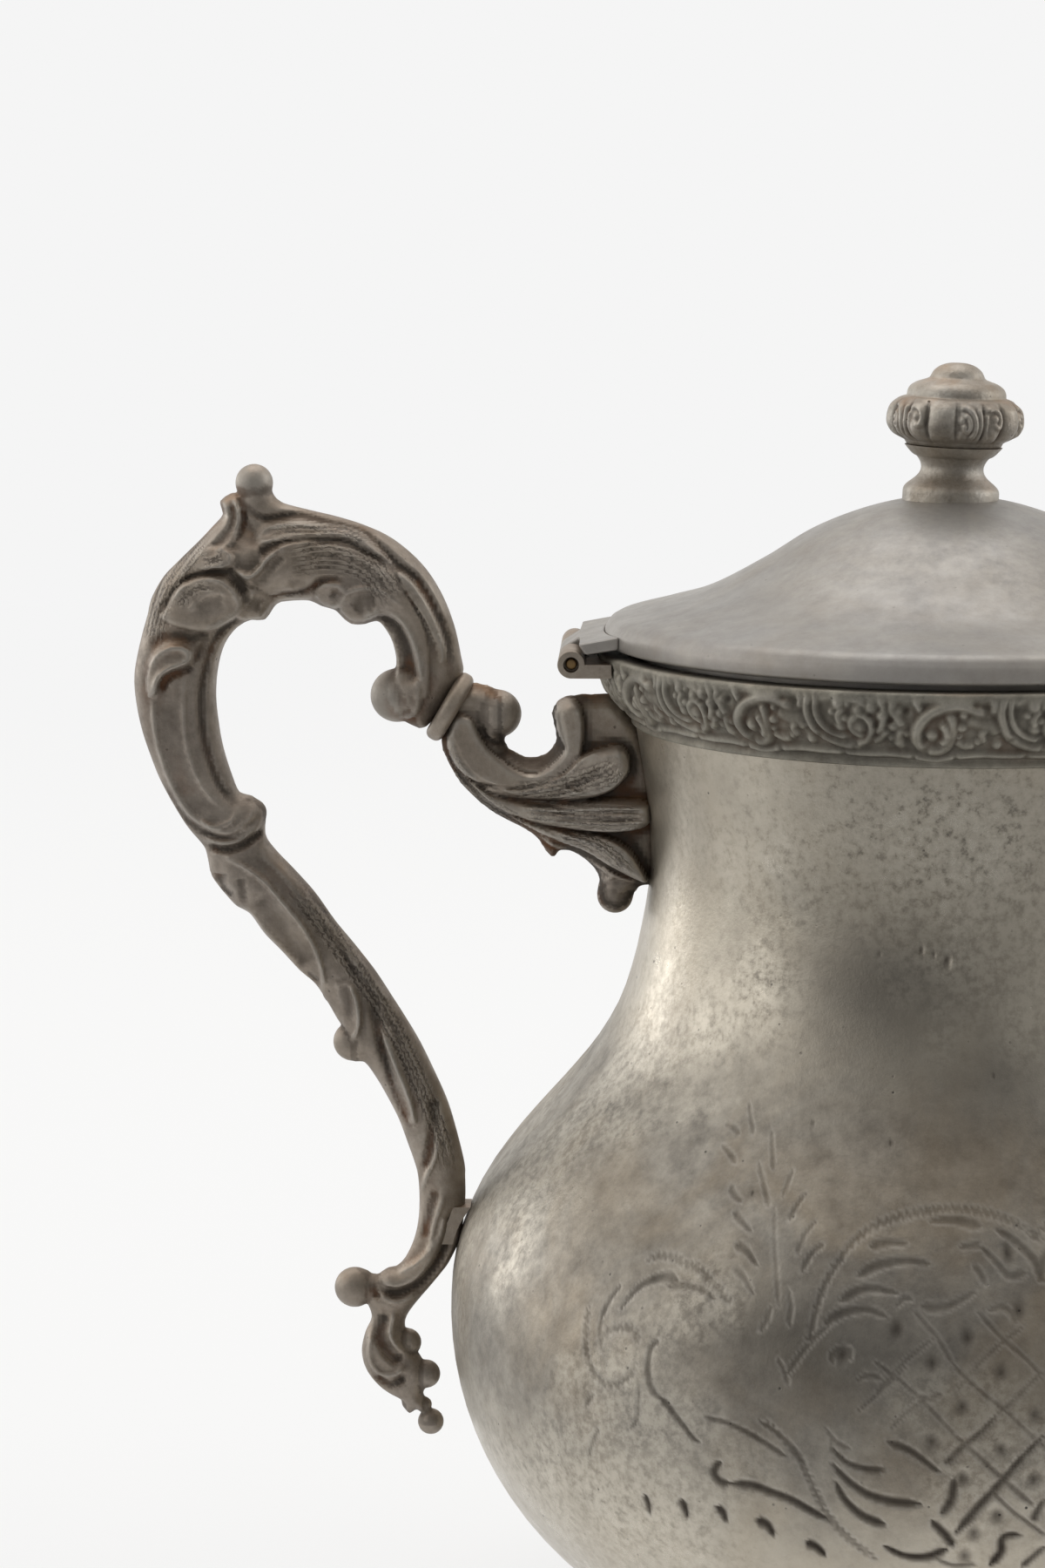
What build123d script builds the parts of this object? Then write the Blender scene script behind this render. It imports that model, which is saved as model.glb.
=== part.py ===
from build123d import *
from math import atan2, cos, radians, sin, sqrt
import os

# Pewter teapot with a hinged domed lid, in millimetres.
# Z is up, the pot's axis is Z, the handle is toward -X and the spout toward +X.
# The origin is the centre of the foot's resting face.

# Pot wall
RIM_Z = 157.5            # top of the neck band
BELLY_R = 74.2           # widest radius of the belly
BELLY_Z = 57.0           # height of the widest radius
BELLY_ARC = 48.0         # radius of the round lower belly in section
NECK_R = 44.0            # narrowest radius of the neck
NECK_DROP = 31.5         # narrowest radius below the rim
WALL = 1.2               # sheet thickness of the spun pieces

# Shoulder between belly and neck: share of the radius step, share of the height step
SHOULDER_SHARES = [(0.954, 0.152), (0.748, 0.326), (0.417, 0.50), (0.152, 0.674), (0.043, 0.848)]

# Neck band
BAND_OUT = 8.0           # plain top lip beyond the neck's narrowest radius
BAND_HEIGHT = 10.3
BAND_FOOT_OUT = 3.2      # scalloped lower edge beyond the neck's narrowest radius
BAND_BULGE = (0.9, 4.6)  # the relief is this far inside the lip, this far above the lower edge
BAND_LIP = 1.5           # height of the plain lip
BAND_THICK = 1.6         # thickness of the casting behind the relief
BAND_FOOT_THICK = 0.6
SHELL_RIM_STEP = 0.4     # the wall's upper edge lies this much further in than the casting's back
RIM_FLARE = (1, 2)       # direction of the wall where it meets the lip
MOUTH_WALL = 3.6         # from the lip's outer face in to the mouth

# Foot
FOOT_OUT = 21.8          # foot's edge beyond the centre of the belly's arc
FOOT_TOP_OUT = 16.2      # where the foot meets the belly, beyond the same centre
FOOT_BITE = 0.8          # how far the foot's top is drawn in past the belly before it is cut
FOOT_WALL = 2.0
FOOT_BEAD = 3.0          # height of the rolled edge
FOOT_BEAD_WALL = 3.6
FOOT_BEAD_ROUND = 1.0    # how far the rolled edge bulges
FOOT_COVE_IN = 5.2       # middle of the cove inside the foot's radius
FOOT_COVE_SHARE = 0.3125 # its height, as a share from the rolled edge to the foot's top

# Lid
LID_IN = 1.0             # lid's edge inside the band's lip
LID_GAP = 0.9            # between the band's lip and the lid's edge
LID_EDGE = 2.6           # thickness of the turned edge
DOME_RISE = 19.4         # from the top of the turned edge to the top of the dome
# Dome from edge to crown: share of the lid's radius, share of the rise
DOME_SHARES = [(0.967, 0.07), (0.865, 0.14), (0.71, 0.262), (0.543, 0.50), (0.406, 0.725), (0.269, 0.875),
               (0.14, 0.962)]
BEZEL_CLEARANCE = 1.6
BEZEL_WALL = 1.0
BEZEL_DROP = 4.0         # below the turned edge

# Hinge
BARREL_R = 2.0
HINGE_OUT = 3.7          # pin centre beyond the band's lip
HINGE_DROP = 0.8         # pin centre below the band's top
HINGE_WIDTH = 30.0
MIDDLE_KNUCKLE = 9.8
KNUCKLE_GAP = 0.3
PIN_R = 0.8
PIN_CLEARANCE = 0.05
END_BORE_R = 1.15
END_BORE_DEPTH = 2.0
PIN_SHORT = 0.8          # the pin's ends lie this far inside the outer knuckles
LEAF = 2.0               # thickness of both leaves
LEAF_BITE = 4.0          # how far a leaf is drawn in past the edge it is soldered to
LEAF_RISE = 1.4          # underside of the lid's leaf above the pin's centre at the barrel
LEAF_NOSE = (1.0, 1.6)   # upper corner of the lid's leaf: outward, upward of its lower corner
LEAF_FALL = 0.15         # top of the lid's leaf above the turned edge at its inner end
WEB_ROOT = (1.2, 1.6)    # where the web of the middle knuckle starts: outward, upward of the pin
WEB_FRONT = (1.94, 0.4)  # where the web ends: inward, upward of the pin

# Finial, heights above the dome
FINIAL_LEAN = 2.4        # degrees toward the spout: the stud is slightly bent
STUD_R = 1.5
STUD_CLEARANCE = 0.2
STUD_TOP = 12.0          # above the dome
STUD_BELOW = 6.2         # below the top of the dome
WASHER_R = 6.0
WASHER_THICK = 0.8
NUT_ACROSS = 6.0
NUT_THICK = 2.4
FINIAL_BASE = [(7.1, 0.0), (7.05, 0.7), (5.3, 2.5), (4.6, 4.1), (5.3, 5.5), (7.2, 7.2)]
FINIAL_KNOB = [(7.2, 7.2), (9.2, 8.7), (10.05, 10.7), (9.6, 12.9), (7.8, 14.3)]
FINIAL_TIER = [(6.9, 14.8), (6.2, 15.9), (4.9, 16.8)]
FINIAL_CAP = [(3.8, 17.3), (2.7, 18.5), (0.0, 19.4)]

# Collar between grip and bracket, the datum of the handle
COLLAR_OUT = 0.1         # collar centre inside the belly's widest radius
COLLAR_DROP = 9.0        # collar centre below the rim
COLLAR_TILT = 150.0      # direction in which the grip leaves the collar, degrees from +X
COLLAR_R = 5.6
COLLAR_THICK = 2.6
COLLAR_ROUND = 1.1
DEPTH_SHARE = 0.85       # depth of the handle across the pot, as a share of its width

# Centre line of the handle from the collar's centre: along X, along Z, half width
ARCH = [
    (2.6, -1.6, 4.2),
    (-3.1, 6.9, 4.9),
    (-5.4, 14.8, 5.1),
    (-11.8, 19.9, 6.1),
    (-20.6, 22.0, 6.6),
    (-28.9, 21.4, 7.2),
    (-36.2, 16.9, 6.8),
    (-39.7, 11.2, 6.2),
    (-41.1, 4.0, 6.1),
    (-40.8, -3.3, 5.7),
    (-38.8, -9.9, 5.3),
    (-35.7, -16.3, 4.9),
    (-32.6, -20.9, 4.7),
]
STEM = [
    (-33.6, -19.4, 4.2),
    (-28.7, -27.0, 4.9),
    (-21.8, -34.8, 4.6),
    (-15.3, -42.8, 4.35),
    (-10.6, -50.1, 4.15),
    (-7.2, -56.3, 4.1),
    (-4.3, -63.2, 3.9),
    (-2.3, -70.2, 3.7),
    (-1.6, -76.6, 3.45),
    (-3.0, -82.7, 3.3),
    (-5.8, -88.0, 3.1),
    (-8.6, -91.8, 2.9),
    (-10.2, -96.0, 3.0),
    (-10.2, -100.6, 3.6),
    (-8.2, -104.8, 3.4),
    (-5.4, -108.4, 2.0),
]
# Balls and scroll ends of the grip: along X, along Z, radius
GRIP_BALLS = [
    (-29.1, 33.4, 2.75),
    (-28.6, 29.6, 2.7),
    (-33.2, 31.3, 1.2),
    (-31.9, 28.6, 2.1),
    (-25.8, 28.2, 1.5),
    (-8.1, 1.5, 4.1),
    (-30.0, -16.2, 2.7),
    (-33.5, -27.0, 2.6),
    (-31.0, -29.4, 2.4),
    (-15.2, -51.4, 2.9),
    (-15.0, -90.1, 3.3),
    (-11.6, -91.4, 2.3),
    (-6.9, -98.6, 2.4),
    (-4.8, -103.3, 2.4),
    (-6.9, -109.0, 1.1),
    (-4.6, -109.5, 1.3),
    (-3.4, -111.5, 2.0),
]

# Bracket outline from the collar: share of the way to the neck, distance along Z; its balls add a radius
BRACKET_UNDER_SHARES = [(-0.043, -4.9), (0.010, -10.1), (0.126, -14.3), (0.289, -17.6),
                        (0.429, -20.1), (0.492, -23.0)]
BRACKET_LOWER_SHARES = [(0.492, -23.0), (0.545, -22.1), (0.625, -22.5), (0.698, -24.2), (0.738, -27.5)]
BRACKET_UPPER_SHARES = [(0.867, -5.2), (0.771, -2.4), (0.658, -1.8)]
BRACKET_NOTCH_SHARES = [(0.512, -5.4), (0.405, -8.0), (0.286, -5.4)]
BRACKET_BALL_SHARES = [(0.641, -1.9, 3.6), (0.233, -1.5, 3.4), (0.821, -28.8, 2.8)]
COLLAR_FACE = (3.6, 3.6) # top of the bracket's end face at the collar
BRACKET_DEPTH = 8.4
FAN_DEPTH = 15.0         # width of the leaf fan where it lies on the neck
FAN_OUT = 5.5            # how far the fan's root stands off the neck
FAN_LOW = -27.0          # ends of the fan's root, from the collar's centre
FAN_HIGH = -7.0
FAN_SLOPE = (5.0, 2.0)   # the fan's outer face stops this far short of the root, below and above
BITE = 3.0               # how far a soldered piece is drawn in past the wall before it is cut

# Lug between the lower handle and the belly
LUG_POINT = (-3.0, -82.7)  # point of the stem that the lug is soldered to, from the collar's centre
LUG_UP = 8.8             # that point above the belly's widest height
LUG_RAISE = 1.5          # lug centre above that point
LUG_HEIGHT = 9.4
LUG_WIDTH = 5.0

# Spout: from the belly's widest radius and height, along X, along Z, half width
SPOUT = [
    (-16.0, -1.0, 16.0),
    (0.0, 3.0, 15.0),
    (11.0, 12.0, 11.6),
    (19.0, 25.0, 9.4),
    (24.5, 41.0, 7.8),
    (28.5, 58.0, 6.7),
    (33.0, 74.0, 6.1),
    (42.0, 87.0, 5.9),
]
SPOUT_TIP_DROP = 13.5    # middle of the spout's mouth below the rim
SPOUT_WALL = 1.4
SPOUT_DEPTH_SHARE = 0.8
STRAINER_HOLE_R = 1.3
STRAINER_COUNTS = (1, 6, 12)
STRAINER_RINGS = (0.0, 4.0, 7.8)  # radius of each ring of holes
STRAINER_UP = 4.0

neck_z = RIM_Z - NECK_DROP
band_r = NECK_R + BAND_OUT
band_foot_r = NECK_R + BAND_FOOT_OUT
mouth_r = band_r - MOUTH_WALL
band_z = RIM_Z - BAND_HEIGHT
belly_centre_r = BELLY_R - BELLY_ARC
belly_bottom_z = BELLY_Z - BELLY_ARC
foot_r = belly_centre_r + FOOT_OUT
foot_top_r = belly_centre_r + FOOT_TOP_OUT
foot_top_z = BELLY_Z - sqrt(BELLY_ARC ** 2 - FOOT_TOP_OUT ** 2) + FOOT_BITE
lid_r = band_r - LID_IN
lid_z = RIM_Z + LID_GAP
lid_edge_z = lid_z + LID_EDGE
dome_z = lid_edge_z + DOME_RISE
bezel_r = mouth_r - BEZEL_CLEARANCE
hinge_x = -(band_r + HINGE_OUT)
hinge_z = RIM_Z - HINGE_DROP
collar_x = -(BELLY_R - COLLAR_OUT)
collar_z = RIM_Z - COLLAR_DROP
handle_rise = (BELLY_Z + LUG_UP - collar_z) / LUG_POINT[1]
spout_rise = (RIM_Z - SPOUT_TIP_DROP - BELLY_Z) / SPOUT[-1][1]
band_back = (band_foot_r - BAND_FOOT_THICK, band_z)
collar_top = (collar_x + COLLAR_FACE[0], collar_z + COLLAR_FACE[1])
shell_rim = (band_r - BAND_THICK - SHELL_RIM_STEP, RIM_Z - BAND_LIP)

os.makedirs("parts", exist_ok=True)


def save(builder, name):
    """Label a finished piece and write it under its name."""
    builder.part.label = name
    export_step(builder.part, f"parts/{name}.step")


def shoulder_points():
    """Points of the shoulder curve, from the belly up to the neck."""
    radius_step = BELLY_R - NECK_R
    height_step = neck_z - BELLY_Z
    return [(NECK_R + f * radius_step, BELLY_Z + h * height_step) for f, h in SHOULDER_SHARES]


def moved_in(points, inset):
    """The points of an open curve except its ends, each moved to its left by the inset."""
    moved = []
    for before, here, after in zip(points, points[1:], points[2:]):
        turn = atan2(after[1] - before[1], after[0] - before[0])
        moved.append((here[0] - inset * sin(turn), here[1] + inset * cos(turn)))
    return moved


def wall_curve(inset):
    """Line of the pot wall in section, from the bottom plate to the rim, moved in by the inset."""
    points = [(BELLY_R, BELLY_Z), *shoulder_points(), (NECK_R, neck_z), band_back, shell_rim]
    lower = CenterArc((belly_centre_r, BELLY_Z), BELLY_ARC - inset, -90, 90)
    rim = (shell_rim[0] - inset, shell_rim[1])
    upper = Spline(lower @ 1, *moved_in(points, inset), rim, tangents=[(0, 1), RIM_FLARE])
    return lower @ 0, upper @ 1


def handle_point(along, up):
    """A point of the handle's side view, from the collar's centre."""
    return (collar_x + along, collar_z + up * handle_rise)


def bracket_point(along, up):
    """A point of the bracket's side view, from a share of the way between collar and neck."""
    return (collar_x + along * (-NECK_R - collar_x), collar_z + up)


def section_plane(before, here, after):
    """Plane across a limb at a point of its centre line in the XZ plane."""
    turn = atan2(after[1] - before[1], after[0] - before[0])
    return Plane(origin=(here[0], 0, here[1]), x_dir=(0, 1, 0), z_dir=(cos(turn), 0, sin(turn)))


def limb_sections(stations, depth_share, trim):
    """Oval faces across a limb, from (x, z, half width) stations; trim thins them for a bore."""
    faces = []
    last = len(stations) - 1
    for i, (x, z, half) in enumerate(stations):
        plane = section_plane(stations[max(i - 1, 0)], (x, z), stations[min(i + 1, last)])
        with BuildSketch(plane, mode=Mode.PRIVATE) as section:
            Ellipse(half * depth_share - trim, half - trim)
        faces.append(section.sketch.face())
    return faces


def pot_outline():
    """Solid space inside the pot wall's outer face, used to fit pieces to the wall."""
    with BuildPart(mode=Mode.PRIVATE) as space:
        with BuildSketch(Plane.XZ):
            with BuildLine():
                low, high = wall_curve(0)
                Polyline(low, (0, low.Y), (0, high.Y), high)
            make_face()
        revolve(axis=Axis.Z)
    return space.part


# Pot wall: spun pewter, with the strainer holes where the spout is soldered on
with BuildPart() as body_shell:
    with BuildSketch(Plane.XZ):
        with BuildLine():
            low, high = wall_curve(0)
            inner_low, inner_high = wall_curve(WALL)
            Line(low, inner_low)
            Line(high, inner_high)
        make_face()
    revolve(axis=Axis.Z)
    for count, ring in zip(STRAINER_COUNTS, STRAINER_RINGS):
        with BuildSketch(Plane.YZ.offset(BELLY_R - 3 * WALL)):
            with Locations((0, BELLY_Z + STRAINER_UP)):
                with PolarLocations(ring, count):
                    Circle(STRAINER_HOLE_R)
        extrude(amount=4 * WALL, mode=Mode.SUBTRACT)
save(body_shell, "body_shell")

# Space inside the pot's outer face, and the outer faces that other pieces are fitted to
pot_space = pot_outline()

with BuildPart() as band_space:
    with BuildSketch(Plane.XZ):
        with BuildLine():
            relief = Spline((band_foot_r, band_z), (band_r - BAND_BULGE[0], band_z + BAND_BULGE[1]),
                            (band_r, RIM_Z - BAND_LIP), tangents=[(1, 0.6), (0, 1)])
            Polyline(relief @ 1, (band_r, RIM_Z), (0, RIM_Z), (0, band_z), relief @ 0)
        make_face()
    revolve(axis=Axis.Z)

with BuildPart() as lid_space:
    with BuildSketch(Plane.XZ):
        with BuildLine():
            dome_points = [(f * lid_r, lid_edge_z + h * DOME_RISE) for f, h in DOME_SHARES]
            crown = Spline((lid_r, lid_edge_z), *dome_points, (0, dome_z),
                           tangents=[(-0.2, 1), (-1, 0)], tangent_scalars=[1, 1])
            Polyline(crown @ 1, (0, lid_z), (lid_r, lid_z), (lid_r, lid_edge_z))
        make_face()
    revolve(axis=Axis.Z)

# Bottom plate: disc let into the bottom of the wall
with BuildPart() as bottom_plate:
    with BuildSketch(Plane.XY.offset(belly_bottom_z)):
        Circle(belly_centre_r)
    extrude(amount=WALL)
save(bottom_plate, "bottom_plate")

# Foot: moulded ring with a rolled edge, soldered under the belly
with BuildPart() as foot_ring:
    with BuildSketch(Plane.XZ):
        with BuildLine():
            bead_low = (foot_r - FOOT_BEAD_ROUND, 0)
            bead_high = (foot_r - FOOT_BEAD_ROUND, FOOT_BEAD)
            cove_z = FOOT_BEAD + FOOT_COVE_SHARE * (foot_top_z - FOOT_BEAD)
            outer = Spline(bead_high, (foot_r - FOOT_COVE_IN, cove_z), (foot_top_r, foot_top_z),
                           tangents=[(-1, 0.2), (0.1, 1)])
            inner = Spline((foot_top_r - FOOT_WALL, foot_top_z), (foot_r - FOOT_COVE_IN - FOOT_WALL, cove_z),
                           (foot_r - FOOT_BEAD_WALL, 0), tangents=[(-0.1, -1), (0.6, -1)])
            Line(outer @ 1, inner @ 0)
            Line(inner @ 1, bead_low)
            ThreePointArc(bead_low, (foot_r, FOOT_BEAD / 2), bead_high)
        make_face()
    revolve(axis=Axis.Z)
    add(pot_space, mode=Mode.SUBTRACT)
save(foot_ring, "foot_ring")

# Neck band: ornament ring with a plain lip that closes over the wall's upper edge
with BuildPart() as neck_band:
    add(band_space.part)
    add(pot_space, mode=Mode.SUBTRACT)
    with BuildSketch(Plane.XY.offset(RIM_Z - BAND_LIP)):
        Circle(mouth_r)
    extrude(amount=BAND_LIP, mode=Mode.SUBTRACT)
save(neck_band, "neck_band")

# Lid dome: spun sheet with a thick turned edge, bored for the finial's stud
with BuildPart() as lid_dome:
    add(lid_space.part)
    with BuildSketch(Plane.XZ):
        with BuildLine():
            hollow_z = lid_edge_z - WALL
            under_points = moved_in([(lid_r, lid_edge_z), *dome_points, (0, dome_z)], WALL)
            hollow = Spline((bezel_r, hollow_z), *under_points[1:], (0, dome_z - WALL),
                            tangents=[(-0.5, 1), (-1, 0)], tangent_scalars=[1, 1])
            Polyline(hollow @ 1, (0, lid_z), (bezel_r, lid_z), (bezel_r, hollow_z))
        make_face()
    revolve(axis=Axis.Z, mode=Mode.SUBTRACT)
    with BuildSketch(Plane.XY.offset(dome_z - 3 * WALL)):
        Circle(STUD_R + STUD_CLEARANCE)
    extrude(amount=4 * WALL, mode=Mode.SUBTRACT)
save(lid_dome, "lid_dome")

# Bezel: ring inside the turned edge that centres the lid in the mouth
with BuildPart() as lid_bezel:
    with BuildSketch(Plane.XY.offset(lid_z - BEZEL_DROP)):
        Circle(bezel_r)
        Circle(bezel_r - BEZEL_WALL, mode=Mode.SUBTRACT)
    extrude(amount=BEZEL_DROP + LID_EDGE - WALL)
save(lid_bezel, "lid_bezel")

# The finial's pieces are drawn along their own leaning axis, from the top of the dome
lean = radians(FINIAL_LEAN)
finial_plane = Plane(origin=(0, 0, dome_z), x_dir=(cos(lean), 0, -sin(lean)), z_dir=(sin(lean), 0, cos(lean)))
finial_side = Plane(origin=(0, 0, dome_z), x_dir=(cos(lean), 0, -sin(lean)), z_dir=(0, -1, 0))
finial_axis = Axis((0, 0, dome_z), (sin(lean), 0, cos(lean)))

# Finial base: waisted turned foot, hollowed underneath to sit on the dome
with BuildPart() as finial_base:
    with BuildSketch(finial_side):
        with BuildLine():
            neck = Spline(*FINIAL_BASE, tangents=[(0, 1), (0.8, 1)])
            Polyline(neck @ 1, (0, FINIAL_BASE[-1][1]), (0, -WALL), (FINIAL_BASE[0][0], -WALL), neck @ 0)
        make_face()
    revolve(axis=finial_axis)
    add(lid_space.part, mode=Mode.SUBTRACT)
    with BuildSketch(finial_plane.offset(-WALL)):
        Circle(STUD_R + STUD_CLEARANCE)
    extrude(amount=FINIAL_BASE[-1][1] + WALL, mode=Mode.SUBTRACT)
save(finial_base, "finial_base")

# Finial knob: cast in one with its stepped cap, bored blind for the stud
knob_z = FINIAL_KNOB[0][1]
with BuildPart() as finial_knob:
    with BuildSketch(finial_side):
        with BuildLine():
            knob = Spline(*FINIAL_KNOB, tangents=[(1, 0.4), (-1, 0.3)])
            tier = Spline(*FINIAL_TIER)
            cap = Spline(*FINIAL_CAP, tangents=[(0, 1), (-1, 0)])
            Line(knob @ 1, tier @ 0)
            Line(tier @ 1, cap @ 0)
            Polyline(cap @ 1, (0, knob_z), knob @ 0)
        make_face()
    revolve(axis=finial_axis)
    with BuildSketch(finial_plane.offset(knob_z)):
        Circle(STUD_R)
    extrude(amount=STUD_TOP - knob_z, mode=Mode.SUBTRACT)
save(finial_knob, "finial_knob")

# Stud, washer and nut that hold the finial on the lid
with BuildPart() as finial_stud:
    with BuildSketch(finial_plane.offset(-STUD_BELOW)):
        Circle(STUD_R)
    extrude(amount=STUD_BELOW + STUD_TOP)
save(finial_stud, "finial_stud")

washer_low = -WALL - WASHER_THICK
with BuildPart() as finial_washer:
    with BuildSketch(finial_plane.offset(washer_low)):
        Circle(WASHER_R)
        Circle(STUD_R + STUD_CLEARANCE, mode=Mode.SUBTRACT)
    extrude(amount=WASHER_THICK)
    add(lid_dome.part, mode=Mode.SUBTRACT)
save(finial_washer, "finial_washer")

with BuildPart() as finial_nut:
    with BuildSketch(finial_plane.offset(washer_low - NUT_THICK)):
        RegularPolygon(NUT_ACROSS / 2, 6, major_radius=False)
        Circle(STUD_R, mode=Mode.SUBTRACT)
    extrude(amount=NUT_THICK)
save(finial_nut, "finial_nut")

# Hinge leaf on the pot: plate under the lid's leaf, with the two outer knuckles
slot_half = MIDDLE_KNUCKLE / 2 + KNUCKLE_GAP
with BuildPart() as hinge_body_leaf:
    with BuildSketch(Plane.XZ):
        with Locations((hinge_x, hinge_z)):
            Circle(BARREL_R)
            Rectangle(HINGE_OUT + LEAF_BITE, LEAF, align=(Align.MIN, Align.MAX))
    extrude(amount=HINGE_WIDTH / 2, both=True)
    with BuildSketch(Plane.XZ):
        with Locations((hinge_x, hinge_z)):
            Circle(BARREL_R + KNUCKLE_GAP)
    extrude(amount=slot_half, both=True, mode=Mode.SUBTRACT)
    with BuildSketch(Plane.XZ):
        with Locations((hinge_x, hinge_z)):
            Circle(PIN_R + PIN_CLEARANCE)
    extrude(amount=HINGE_WIDTH / 2, both=True, mode=Mode.SUBTRACT)
    for side in (-1, 1):
        with BuildSketch(Plane.XZ.offset(side * HINGE_WIDTH / 2)):
            with Locations((hinge_x, hinge_z)):
                Circle(END_BORE_R)
        extrude(amount=-side * END_BORE_DEPTH, mode=Mode.SUBTRACT)
    add(band_space.part, mode=Mode.SUBTRACT)
save(hinge_body_leaf, "hinge_body_leaf")

# Hinge leaf on the lid: plate sloping up to the turned edge, with the middle knuckle
plate_near = (hinge_x + BARREL_R, hinge_z + LEAF_RISE)
plate_nose = (plate_near[0] - LEAF_NOSE[0], plate_near[1] + LEAF_NOSE[1])
plate_far = (LEAF_BITE - lid_r, lid_edge_z - LEAF + LEAF_FALL)
web_root = (hinge_x - WEB_ROOT[0], hinge_z + WEB_ROOT[1])
web_front = (hinge_x + WEB_FRONT[0], hinge_z + WEB_FRONT[1])
with BuildPart() as hinge_lid_leaf:
    with BuildSketch(Plane.XZ):
        with BuildLine():
            Polyline(plate_near, plate_far, (plate_far[0], plate_far[1] + LEAF), plate_nose, plate_near)
        make_face()
    extrude(amount=HINGE_WIDTH / 2, both=True)
    with BuildSketch(Plane.XZ):
        with Locations((hinge_x, hinge_z)):
            Circle(BARREL_R)
        with BuildLine():
            Polyline((hinge_x, hinge_z), web_front, plate_near, plate_nose, web_root, (hinge_x, hinge_z))
        make_face()
    extrude(amount=MIDDLE_KNUCKLE / 2, both=True)
    with BuildSketch(Plane.XZ):
        with Locations((hinge_x, hinge_z)):
            Circle(PIN_R + PIN_CLEARANCE)
    extrude(amount=MIDDLE_KNUCKLE / 2, both=True, mode=Mode.SUBTRACT)
    add(lid_space.part, mode=Mode.SUBTRACT)
save(hinge_lid_leaf, "hinge_lid_leaf")

# Hinge pin, sunk in the outer knuckles
with BuildPart() as hinge_pin:
    with BuildSketch(Plane.XZ):
        with Locations((hinge_x, hinge_z)):
            Circle(PIN_R)
    extrude(amount=HINGE_WIDTH / 2 - PIN_SHORT, both=True)
save(hinge_pin, "hinge_pin")

# Collar: rounded ring between the grip and the bracket
collar_axis = (cos(radians(COLLAR_TILT)), 0, sin(radians(COLLAR_TILT)))
collar_plane = Plane(origin=(collar_x, 0, collar_z), x_dir=(0, 1, 0), z_dir=collar_axis)
with BuildPart() as handle_collar:
    with BuildSketch(collar_plane):
        Circle(COLLAR_R)
    extrude(amount=COLLAR_THICK / 2, both=True)
    fillet(handle_collar.edges(), COLLAR_ROUND)
save(handle_collar, "handle_collar")

# Grip: arch, lower stem and scroll tail, cast in one
with BuildPart() as handle_grip:
    loft(limb_sections([(*handle_point(x, z), half) for x, z, half in ARCH], DEPTH_SHARE, 0))
    split(bisect_by=collar_plane.offset(COLLAR_THICK / 2), keep=Keep.TOP)
    loft(limb_sections([(*handle_point(x, z), half) for x, z, half in STEM], DEPTH_SHARE, 0))
    for x, z, radius in GRIP_BALLS:
        ball_x, ball_z = handle_point(x, z)
        with Locations((ball_x, 0, ball_z)):
            Sphere(radius)
    add(handle_collar.part, mode=Mode.SUBTRACT)
save(handle_grip, "handle_grip")

# Lug: block of solder metal between the lower handle and the belly
with BuildPart() as handle_lug:
    with BuildSketch(Plane.XZ):
        with Locations((collar_x + LUG_POINT[0], BELLY_Z + LUG_UP + LUG_RAISE)):
            Rectangle(2 * BITE, LUG_HEIGHT, align=(Align.MIN, Align.CENTER))
    extrude(amount=LUG_WIDTH / 2, both=True)
    add(pot_space, mode=Mode.SUBTRACT)
    add(handle_grip.part, mode=Mode.SUBTRACT)
save(handle_lug, "handle_lug")

# Bracket: cast leaf between the collar and the neck, with a wider fan where it lies on the neck
bracket_root_x = -NECK_R + BITE
with BuildSketch(Plane.XZ) as bracket_view:
    with BuildLine():
        under = Spline(*[bracket_point(x, z) for x, z in BRACKET_UNDER_SHARES])
        lower = Spline(*[bracket_point(x, z) for x, z in BRACKET_LOWER_SHARES])
        notch = ThreePointArc(*[bracket_point(x, z) for x, z in BRACKET_NOTCH_SHARES])
        Polyline(lower @ 1, (bracket_root_x, collar_z + FAN_LOW),
                 (bracket_root_x, collar_z + BRACKET_UPPER_SHARES[0][1]),
                 *[bracket_point(x, z) for x, z in BRACKET_UPPER_SHARES], notch @ 0)
        Polyline(notch @ 1, bracket_point(*BRACKET_BALL_SHARES[1][:2]), collar_top, under @ 0)
    make_face()
    for x, z, radius in BRACKET_BALL_SHARES:
        with Locations(bracket_point(x, z)):
            Circle(radius)

with BuildPart() as handle_bracket:
    extrude(bracket_view.sketch, amount=BRACKET_DEPTH / 2, both=True)
    with BuildSketch(Plane.XZ):
        with BuildLine():
            Polyline((bracket_root_x, collar_z + FAN_LOW), (bracket_root_x, collar_z + FAN_HIGH),
                     (-NECK_R - FAN_OUT, collar_z + FAN_HIGH - FAN_SLOPE[1]),
                     (-NECK_R - FAN_OUT, collar_z + FAN_LOW + FAN_SLOPE[0]),
                     (bracket_root_x, collar_z + FAN_LOW))
        make_face()
    extrude(amount=FAN_DEPTH / 2, both=True)
    add(pot_space, mode=Mode.SUBTRACT)
    add(band_space.part, mode=Mode.SUBTRACT)
    add(handle_collar.part, mode=Mode.SUBTRACT)
save(handle_bracket, "handle_bracket")

# Spout: hollow S-curved casting in two halves, soldered on the seam and over the strainer holes
spout_line = [(BELLY_R + x, BELLY_Z + z * spout_rise, half) for x, z, half in SPOUT]
with BuildPart() as spout_whole:
    loft(limb_sections(spout_line, SPOUT_DEPTH_SHARE, 0))
    loft(limb_sections(spout_line, SPOUT_DEPTH_SHARE, SPOUT_WALL), mode=Mode.SUBTRACT)
    add(pot_space, mode=Mode.SUBTRACT)
with BuildPart() as spout_near_half:
    add(spout_whole.part)
    split(bisect_by=Plane.XZ, keep=Keep.TOP)
save(spout_near_half, "spout_near_half")
with BuildPart() as spout_far_half:
    add(spout_whole.part)
    split(bisect_by=Plane.XZ, keep=Keep.BOTTOM)
save(spout_far_half, "spout_far_half")
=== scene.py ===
from math import cos, radians, sin

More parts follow.
